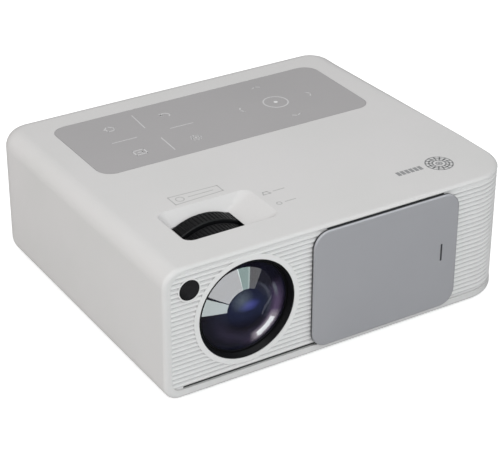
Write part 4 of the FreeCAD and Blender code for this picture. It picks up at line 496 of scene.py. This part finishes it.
def coatNormal(tree, outward, radius, onRing, gleam, look):
    # the coated outside: a gentle dome in the middle, a steeper even ring round it, one hollow spot
    domeTilt = spread(tree, radius, 0.0, look["domeRadius"], 0.0, look["domeSlope"])
    ringTilt = mathNode(tree, "MULTIPLY", onRing, look["ringSlope"])
    offRing = mathNode(tree, "SUBTRACT", 1.0, onRing)
    tilt = mathNode(tree, "ADD", mathNode(tree, "MULTIPLY", domeTilt, offRing), ringTilt)
    leaning = vectorNode(tree, "SCALE", outward)
    tree.links.new(tilt, leaning.inputs["Scale"])
    lift = mathNode(tree, "MULTIPLY", onRing, look["lift"])
    facing = addNode(tree, "ShaderNodeCombineXYZ", Y=-look["forward"], Z=lift)
    bent = vectorNode(tree, "ADD", leaning.outputs["Vector"], facing.outputs["Vector"]).outputs["Vector"]
    hollowed = mixOf(tree, gleam, bent, look["gleamNormal"], kind="VECTOR")
    return vectorNode(tree, "NORMALIZE", hollowed).outputs["Vector"]


def coatedLensMaterial(name, look):
    # a painted blue reflection near the middle that deepens to violet at the rim, a painted grey-teal
    # reflection, painted bows of reflection and a painted highlight, under a glossy coating
    material, tree, shader, place = newMaterial(name)
    across = fromLensAxis(tree, place)
    outward = vectorNode(tree, "NORMALIZE", across).outputs["Vector"]
    radius = lengthOf(tree, across)
    onRing = mathNode(tree, "GREATER_THAN", radius, look["domeRadius"])
    gleam = bowMask(tree, outward, radius, look["gleam"])
    fromBlueReflection = lengthOf(tree, fromLensAxis(tree, place, look["blueReflectionAt"], look["blueReflectionSquash"]))
    fromTealReflection = lengthOf(tree, fromLensAxis(tree, place, look["tealReflectionAt"]))
    tealReflection = spread(tree, fromTealReflection, 0.0, look["tealReflectionReach"], look["tealReflectionShare"], 0.0)
    # painted blue reflection near the middle, fading to the dome and rim colours
    depth = rampOf(tree, spread(tree, fromBlueReflection, 0.0, look["radius"]),
                   ((0.0, look["blueReflection"]), (look["domeStop"], look["dome"]), (1.0, look["ring"])), "EASE")
    lines = evenLines(tree, place, look["streaks"])
    mottling = mathNode(tree, "MULTIPLY", lines.outputs["Cloud"], look["mottle"])
    colour = mixOf(tree, mottling, depth, withAlpha(look["dome"]))
    # a painted grey-teal reflection to the upper left
    colour = mixOf(tree, tealReflection, colour, withAlpha(look["tealReflection"]))
    # painted reflections in bows round the lens axis
    for bow in lensPaintedReflections:
        colour = mixOf(tree, bowMask(tree, outward, radius, bow), colour, withAlpha(bow["colour"]))
    # a painted highlight on the hollow spot
    colour = mixOf(tree, gleam, colour, withAlpha(look["gleam"]["colour"]))
    tree.links.new(colour, shader.inputs["Base Color"])
    unevenRoughness(tree, shader, lines.outputs["Cloud"], look["roughness"])
    shader.inputs["Transmission Weight"].default_value = look["clear"]
    shader.inputs["IOR"].default_value = look["ior"]
    tree.links.new(spread(tree, onRing, 0.0, 1.0, look["domeCoat"], 1.0), shader.inputs["Coat Weight"])
    shader.inputs["Coat IOR"].default_value = look["coatIor"]
    shader.inputs["Coat Roughness"].default_value = look["coatRoughness"]
    normal = coatNormal(tree, outward, radius, onRing, gleam, look)
    tree.links.new(normal, shader.inputs["Coat Normal"])
    return material


# the glasses behind the front one
innerLensFinish = {"centre": (0.10, 0.14, 0.62), "middle": (0.045, 0.06, 0.16), "rim": (0.10, 0.05, 0.18),
                   "middleStop": 0.55, "radius": 19.0 * mm, "streaks": 400.0, "roughness": (0.02, 0.08),
                   "ior": 1.7, "clear": 0.25}


def innerLensMaterial(name, look):
    material, tree, shader, place = newMaterial(name)
    radius = lengthOf(tree, fromLensAxis(tree, place))
    depth = rampOf(tree, spread(tree, radius, 0.0, look["radius"]),
                   ((0.0, look["centre"]), (look["middleStop"], look["middle"]), (1.0, look["rim"])))
    lines = evenLines(tree, place, look["streaks"])
    tree.links.new(depth, shader.inputs["Base Color"])
    unevenRoughness(tree, shader, lines.outputs["Cloud"], look["roughness"])
    shader.inputs["Transmission Weight"].default_value = look["clear"]
    shader.inputs["IOR"].default_value = look["ior"]
    return material


# the infrared window
windowFinish = {"colour": (0.009, 0.009, 0.010), "haze": (0.018, 0.017, 0.019), "edgeWearAndHighlight": (0.06, 0.06, 0.065),
                "streaks": 900.0, "roughness": (0.12, 0.22), "radius": 0.3 * mm, "edgeWearAndHighlightStrength": 1.0,
                "depth": 0.01 * mm}


def windowMaterial(name, look):
    material, tree, shader, place = newMaterial(name)
    lines = evenLines(tree, place, look["streaks"])
    edge = useEffect(tree, "edge", Radius=look["radius"], Strength=look["edgeWearAndHighlightStrength"])
    stain = mixOf(tree, lines.outputs["Cloud"], withAlpha(look["colour"]), withAlpha(look["haze"]))
    # lighter edges: part rubbed wear, part painted highlight
    colour = mixOf(tree, edge.outputs["Mask"], stain, withAlpha(look["edgeWearAndHighlight"]))
    tree.links.new(colour, shader.inputs["Base Color"])
    unevenRoughness(tree, shader, lines.outputs["Value"], look["roughness"])
    bumpInto(tree, shader, lines.outputs["Cloud"], look["depth"], edge.outputs["Normal"])
    return material


def makeMaterials():
    made = {name: mouldedMaterial(name, look) for name, look in mouldedFinishes.items()}
    made.update({name: metalMaterial(name, look) for name, look in metalFinishes.items()})
    made.update({name: glassMaterial(name, look) for name, look in glassFinishes.items()})
    made["board_green"] = boardMaterial("board_green", boardFinish)
    made["dark_window"] = windowMaterial("dark_window", windowFinish)
    made["lens_glass"] = coatedLensMaterial("lens_glass", lensFinish)
    made["inner_lens"] = innerLensMaterial("inner_lens", innerLensFinish)
    return made


materials = makeMaterials()
for part in frame["record"]["subparts"]:
    finish = "inner_lens" if part["node"] == "inner_lenses" else part["material_slot"]
    data = nodes[part["node"]].data
    data.materials.clear()
    data.materials.append(materials[finish])


# inks of the printed marks
inkLooks = {
    "paleInk": {"colour": (0.62, 0.61, 0.615), "drift": (0.55, 0.54, 0.545)},
    "faintInk": {"colour": (0.44, 0.435, 0.43), "drift": (0.50, 0.495, 0.49)},
    "greyInk": {"colour": (0.28, 0.28, 0.285), "drift": (0.34, 0.34, 0.345)},
    "brightInk": {"colour": (0.80, 0.80, 0.80), "drift": (0.72, 0.72, 0.72)},
}
inkSkin = {"amount": 0.8, "grain": 5000.0, "roughness": 0.45, "spread": 0.1, "depth": 0.004 * mm}
inkSheet = {"sunk": 0.01 * mm, "thick": 0.05 * mm}  # each mark starts just under the surface it lies on


def inkMaterial(name, look):
    material, tree, shader, place = newMaterial(name)
    skin = useEffect(tree, "skin", Vector=place, Colour=withAlpha(look["colour"]), Drift=inkSkin["amount"],
                     Drift_Colour=withAlpha(look["drift"]), Grain_Scale=inkSkin["grain"],
                     Roughness=inkSkin["roughness"], Roughness_Spread=inkSkin["spread"])
    tree.links.new(skin.outputs["Colour"], shader.inputs["Base Color"])
    tree.links.new(skin.outputs["Roughness"], shader.inputs["Roughness"])
    bumpInto(tree, shader, skin.outputs["Height"], inkSkin["depth"])
    return material


inks = {name: inkMaterial(name, look) for name, look in inkLooks.items()}


# strokes, drawn flat in millimetres from the case's left front corner
def bar(mesh, x0, y0, x1, y1, width):
    # a straight stroke with square ends
    run = Vector((x1 - x0, y1 - y0, 0))
    middle = Matrix.Translation(((x0 + x1) / 2, (y0 + y1) / 2, 0))
    turn = Matrix.Rotation(math.atan2(run.y, run.x), 4, "Z")
    stretch = Matrix.Diagonal((run.length / 2, width / 2, 1, 1))
    bmesh.ops.create_grid(mesh, x_segments=1, y_segments=1, size=1.0, matrix=middle @ turn @ stretch)


def dot(mesh, x, y, radius, segments=24):
    bmesh.ops.create_circle(mesh, cap_ends=True, segments=segments, radius=radius,
                            matrix=Matrix.Translation((x, y, 0)))


def ring(mesh, x, y, radius, width, segments=48, start=0.0, sweep=360.0):
    # a round stroke, whole or in part
    first = mesh.verts.new((x + radius - width / 2, y, 0))
    second = mesh.verts.new((x + radius + width / 2, y, 0))
    edge = mesh.edges.new((first, second))
    centre = Vector((x, y, 0))
    bmesh.ops.rotate(mesh, verts=[first, second], cent=centre,
                     matrix=Matrix.Rotation(math.radians(start), 3, "Z"))
    bmesh.ops.spin(mesh, geom=[edge, first, second], cent=centre, axis=(0, 0, 1),
                   angle=math.radians(sweep), steps=max(3, int(segments * sweep / 360)),
                   use_merge=sweep >= 360, use_duplicate=False)


def path(mesh, points, width, closed=False):
    # straight strokes with a round dot at each joint
    ends = points[1:] + points[:1] if closed else points[1:]
    for (x0, y0), (x1, y1) in zip(points, ends):
        bar(mesh, x0, y0, x1, y1, width)
        dot(mesh, x1, y1, width / 2, segments=12)


def chevron(mesh, x, y, size, turn, width):
    angle = math.radians(turn)
    reach = size / 3  # how far the tip and the tails lie ahead and behind
    tips = []
    for along, across in ((-reach, -size), (reach, 0), (-reach, size)):
        tips.append((x + along * math.cos(angle) - across * math.sin(angle),
                     y + along * math.sin(angle) + across * math.cos(angle)))
    path(mesh, tips, width)


def printMarks(name, draw, ink, height):
    mesh = bmesh.new()
    draw(mesh)
    bmesh.ops.scale(mesh, verts=mesh.verts, vec=(mm, mm, mm))
    bmesh.ops.translate(mesh, verts=mesh.verts, vec=(case["left"], case["front"], height - inkSheet["sunk"]))
    bmesh.ops.recalc_face_normals(mesh, faces=mesh.faces)
    for face in mesh.faces:
        if face.normal.z < 0:
            face.normal_flip()
    grown = bmesh.ops.extrude_face_region(mesh, geom=list(mesh.faces), use_keep_orig=True)
    bmesh.ops.translate(mesh, vec=(0, 0, inkSheet["thick"]),
                        verts=[part for part in grown["geom"] if isinstance(part, bmesh.types.BMVert)])
    bmesh.ops.recalc_face_normals(mesh, faces=mesh.faces)
    data = bpy.data.meshes.new(name)
    mesh.to_mesh(data)
    mesh.free()
    piece = bpy.data.objects.new(name, data)
    bpy.context.scene.collection.objects.link(piece)
    data.materials.append(ink)
    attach(piece, "projector")


# marks of the touch panel
panelMarks = {
    "home": (65.0, 193.5), "back": (109.3, 193.1), "source": (66.4, 150.8), "settings": (110.0, 150.5),
    "line": 1.05, "symbol": 4.2, "chevronShare": 0.8, "dashShare": 0.75,
    "chevrons": ((188.3, 199.9, 90), (216.3, 170.7, 0), (189.5, 145.4, 270), (159.5, 172.3, 180)),
    "ring": (187.9, 171.2, 9.0), "centreDot": 1.5,
    "dashes": ((88.7, 204.6, 87.1, 181.9), (56.2, 172.2, 75.6, 172.2),
               (89.4, 163.0, 88.5, 141.8), (101.8, 172.4, 120.1, 172.2)),
}


def drawHome(mesh, x, y, size, width):
    # a pitched roof over three walls
    eaves, ridge, wall, sill = size * 0.1, size * 0.9, size * 0.65, size * 0.9
    path(mesh, [(x - size, y - eaves), (x, y + ridge), (x + size, y - eaves)], width)
    path(mesh, [(x - wall, y), (x - wall, y - sill), (x + wall, y - sill), (x + wall, y)], width)


def drawReturn(mesh, x, y, size, width):
    # an open bow with a barb at its end
    bow, barb, barbAcross, barbUp = size * 0.75, size * 0.4, size * 0.65, size * 0.45
    ring(mesh, x, y, bow, width, segments=32, start=-60, sweep=240)
    chevron(mesh, x - barbAcross, y + barbUp, barb, 200, width)


def drawSource(mesh, x, y, size, width):
    # an arrow inside a frame
    half, tail, head, tip = size * 0.75, size * 0.45, size * 0.5, size * 0.35
    path(mesh, [(x - size, y - half), (x + size, y - half), (x + size, y + half), (x - size, y + half)],
         width, closed=True)
    bar(mesh, x - tail, y, x + head, y, width)
    chevron(mesh, x + tip, y, tip, 0, width)


def drawSettings(mesh, x, y, size, width):
    # a small gear: a ring, a hub and eight teeth
    rim, hub, teeth, toothWidth = size * 0.62, size * 0.2, 8, width * 1.3
    ring(mesh, x, y, rim, width, segments=32)
    dot(mesh, x, y, hub)
    for k in range(teeth):
        angle = 2 * math.pi * k / teeth
        bar(mesh, x + rim * math.cos(angle), y + rim * math.sin(angle),
            x + size * math.cos(angle), y + size * math.sin(angle), toothWidth)


def drawPanelMarks(mesh):
    size, width = panelMarks["symbol"], panelMarks["line"]
    drawHome(mesh, *panelMarks["home"], size, width)
    drawReturn(mesh, *panelMarks["back"], size, width)
    drawSource(mesh, *panelMarks["source"], size, width)
    drawSettings(mesh, *panelMarks["settings"], size, width)
    for x0, y0, x1, y1 in panelMarks["dashes"]:
        bar(mesh, x0, y0, x1, y1, width * panelMarks["dashShare"])
    for x, y, turn in panelMarks["chevrons"]:
        chevron(mesh, x, y, size * panelMarks["chevronShare"], turn, width)
    ring(mesh, *panelMarks["ring"], width)


def drawCentreDot(mesh):
    x, y = panelMarks["ring"][:2]
    dot(mesh, x, y, panelMarks["centreDot"])


# marks by the wheels: each sign's parts are counted from its own place
wheelMarks = {
    "line": 0.75,
    "label": (46.0, 72.5, 86.0, 83.5), "labelTaper": (4.0, 1.5), "labelEye": (10.0, 2.8),
    "labelRule": (16.0, 5.0),
    "keystone": (105.0, 56.4), "keystoneRule": (8.0, 17.0),
    "keystonePlate": ((0.0, -1.6), (5.5, -1.6), (4.3, 1.6), (1.2, 1.6)),
    "focus": (105.6, 40.3), "focusRule": (6.5, 15.0), "focusDial": (2.2, 1.7),
}


def drawWheelLabel(mesh, width):
    # an outline behind the scoop that narrows to one end, with an eye and a rule in it
    x0, y0, x1, y1 = wheelMarks["label"]
    inset, narrowing = wheelMarks["labelTaper"]
    path(mesh, [(x0 + inset, y0), (x1, y0 + narrowing), (x1, y1 - narrowing), (x0 + inset, y1)],
         width, closed=True)
    level = (y0 + y1) / 2
    eyeAt, eyeRadius = wheelMarks["labelEye"]
    ring(mesh, x0 + eyeAt, level, eyeRadius, width, segments=32)
    ruleStart, ruleGap = wheelMarks["labelRule"]
    bar(mesh, x0 + ruleStart, level, x1 - ruleGap, level, width)


def drawWheelMarks(mesh):
    width = wheelMarks["line"]
    drawWheelLabel(mesh, width)
    x, y = wheelMarks["keystone"]
    path(mesh, [(x + across, y + up) for across, up in wheelMarks["keystonePlate"]], width, closed=True)
    start, end = wheelMarks["keystoneRule"]
    bar(mesh, x + start, y, x + end, y, width)
    x, y = wheelMarks["focus"]
    dialAt, dialRadius = wheelMarks["focusDial"]
    ring(mesh, x + dialAt, y, dialRadius, width, segments=24)
    start, end = wheelMarks["focusRule"]
    bar(mesh, x + start, y, x + end, y, width)


# plain sign for the disc player: rings, a hub and short spokes, beside a row of upright blocks
discMark = {"centre": (229.4, 32.2), "radius": 9.4, "line": 1.0, "rings": (1.0, 0.74, 0.48, 0.22),
            "hub": 0.12, "spokes": 14, "spokeFrom": 0.48,
            "blocks": 6, "blockStart": (197.0, 33.4), "blockSize": (2.7, 5.2), "blockPitch": 3.5}


def drawDiscMark(mesh):
    x, y = discMark["centre"]
    radius, width = discMark["radius"], discMark["line"]
    for share in discMark["rings"]:
        ring(mesh, x, y, radius * share, width)
    inner = radius * discMark["spokeFrom"]
    for k in range(discMark["spokes"]):
        angle = 2 * math.pi * k / discMark["spokes"]
        bar(mesh, x + inner * math.cos(angle), y + inner * math.sin(angle),
            x + radius * math.cos(angle), y + radius * math.sin(angle), width)
    dot(mesh, x, y, radius * discMark["hub"])
    startX, startY = discMark["blockStart"]
    wide, high = discMark["blockSize"]
    for k in range(discMark["blocks"]):
        left = startX + k * discMark["blockPitch"]
        bar(mesh, left, startY - high / 2, left, startY + high / 2, wide)


printMarks("panel_marks", drawPanelMarks, inks["paleInk"], case["top"])
printMarks("centre_dot", drawCentreDot, inks["brightInk"], case["top"])
printMarks("wheel_marks", drawWheelMarks, inks["faintInk"], case["top"])
printMarks("disc_mark", drawDiscMark, inks["greyInk"], case["top"])
print("printed marks laid on the top")


# pale floor: it glows a little to the eye, so that it looks white, and glossy pieces mirror it dark
floorLook = {"size": 6.0, "colour": (0.82, 0.82, 0.82, 1.0), "mirrored": (0.045, 0.045, 0.045, 1.0),
             "shown": 0.6, "roughness": 0.9, "specular": 0.0}


def makeFloor():
    mesh = bmesh.new()
    bmesh.ops.create_grid(mesh, x_segments=1, y_segments=1, size=floorLook["size"])
    data = bpy.data.meshes.new("floor")
    mesh.to_mesh(data)
    mesh.free()
    floor = bpy.data.objects.new("floor", data)
    bpy.context.scene.collection.objects.link(floor)
    material, tree, shader = newMaterial("paleFloor")[:3]
    shader.inputs["Roughness"].default_value = floorLook["roughness"]
    shader.inputs["Specular IOR Level"].default_value = floorLook["specular"]
    rays = addNode(tree, "ShaderNodeLightPath")
    colour = mixOf(tree, rays.outputs["Is Glossy Ray"], floorLook["colour"], floorLook["mirrored"])
    tree.links.new(colour, shader.inputs["Base Color"])
    seen = mathNode(tree, "MAXIMUM", rays.outputs["Is Camera Ray"], rays.outputs["Is Transmission Ray"])
    shader.inputs["Emission Color"].default_value = (1, 1, 1, 1)
    strength = mathNode(tree, "MULTIPLY", seen, floorLook["shown"])
    tree.links.new(strength, shader.inputs["Emission Strength"])
    data.materials.append(material)


# lit panels, in metres and watts; each one faces its aim, turned in its own plane by so many degrees
lampAims = {"body": (0.0, 0.0, 0.05), "lens": (case["lensX"], case["front"], case["lensZ"])}
lamps = {
    "topPanel": {"place": (-0.15, -0.1, 1.3), "aim": "body", "size": (1.1, 1.1), "power": 5.1},
    "backPanel": {"place": (0.7, 1.3, 1.0), "aim": "body", "size": (1.0, 0.7), "power": 1.2},
    "leftPanel": {"place": (-1.5, 0.2, 0.7), "aim": "body", "size": (0.9, 0.9), "power": 8.3,
                  "colour": (1.0, 0.985, 0.955)},
    "lowPanel": {"place": (-0.72, -1.405, 0.44), "aim": "lens", "size": (0.4, 0.55), "power": 2.8,
                 "turn": -10, "colour": (0.90, 1.0, 0.99)},
    "highPanel": {"place": (-0.09, -1.30, 0.98), "aim": "lens", "size": (1.2, 0.55), "power": 7.6,
                  "turn": 14, "colour": (0.97, 0.985, 1.0)},
    "tealPanel": {"place": (0.62, -1.02, 1.15), "aim": "lens", "size": (0.36, 0.55), "power": 1.7,
                  "turn": 14, "colour": (0.72, 0.95, 0.90)},
    "endPanel": {"place": (0.929, -0.770, 0.955), "aim": "lens", "size": (0.43, 0.45), "power": 0.5,
                 "turn": 20},
}


def makeLamps():
    for name, look in lamps.items():
        light = bpy.data.lights.new(name, "AREA")
        light.shape = "RECTANGLE"
        light.size, light.size_y = look["size"]
        light.energy = look["power"]
        light.color = look.get("colour", (1.0, 1.0, 1.0))
        lamp = bpy.data.objects.new(name, light)
        place = Vector(look["place"])
        aim = Vector(lampAims[look["aim"]])
        facing = (aim - place).to_track_quat("-Z", "Y").to_matrix().to_4x4()
        turn = Matrix.Rotation(math.radians(look.get("turn", 0.0)), 4, "Z")
        lamp.matrix_world = Matrix.Translation(place) @ facing @ turn
        bpy.context.scene.collection.objects.link(lamp)


# plain white surroundings: bright to the eye, dimmer as a light, dimmest in a reflection
worldLook = {"level": 0.36, "seen": 1.0, "mirrored": 0.07}


def makeWorld():
    world = bpy.data.worlds.new("studio")
    bpy.context.scene.world = world
    world.use_nodes = True
    tree = world.node_tree
    back = tree.nodes["Background"]
    back.inputs["Color"].default_value = (1, 1, 1, 1)
    rays = addNode(tree, "ShaderNodeLightPath")
    level = worldLook["level"]
    seen = mathNode(tree, "MULTIPLY", rays.outputs["Is Camera Ray"], worldLook["seen"] - level)
    glossy = mathNode(tree, "MULTIPLY", rays.outputs["Is Glossy Ray"], worldLook["mirrored"] - level)
    total = mathNode(tree, "ADD", mathNode(tree, "ADD", seen, glossy), level)
    tree.links.new(total, back.inputs["Strength"])


# lengths in metres, angles in degrees, focal length and sensor in millimetres
cameraLook = {"azimuth": -31.683, "elevation": 28.998, "roll": 0.185, "lens": 124.56, "sensor": 36.0,
              "place": (-0.55586, -0.89930, 0.62050), "clip": (0.05, 50.0)}


def makeCamera():
    data = bpy.data.cameras.new("camera")
    data.lens, data.sensor_width = cameraLook["lens"], cameraLook["sensor"]
    data.clip_start, data.clip_end = cameraLook["clip"]
    camera = bpy.data.objects.new("camera", data)
    azimuth, elevation = math.radians(cameraLook["azimuth"]), math.radians(cameraLook["elevation"])
    back = Vector((math.sin(azimuth) * math.cos(elevation), -math.cos(azimuth) * math.cos(elevation),
                   math.sin(elevation)))
    level = (-back).to_track_quat("-Z", "Y").to_matrix().to_4x4()
    roll = Matrix.Rotation(math.radians(cameraLook["roll"]), 4, "Z")
    camera.matrix_world = Matrix.Translation(cameraLook["place"]) @ level @ roll
    bpy.context.scene.collection.objects.link(camera)
    bpy.context.scene.camera = camera


makeFloor()
makeLamps()
makeWorld()
makeCamera()
bpy.context.scene.view_settings.view_transform = "Standard"
print("stage, lamps and camera set")
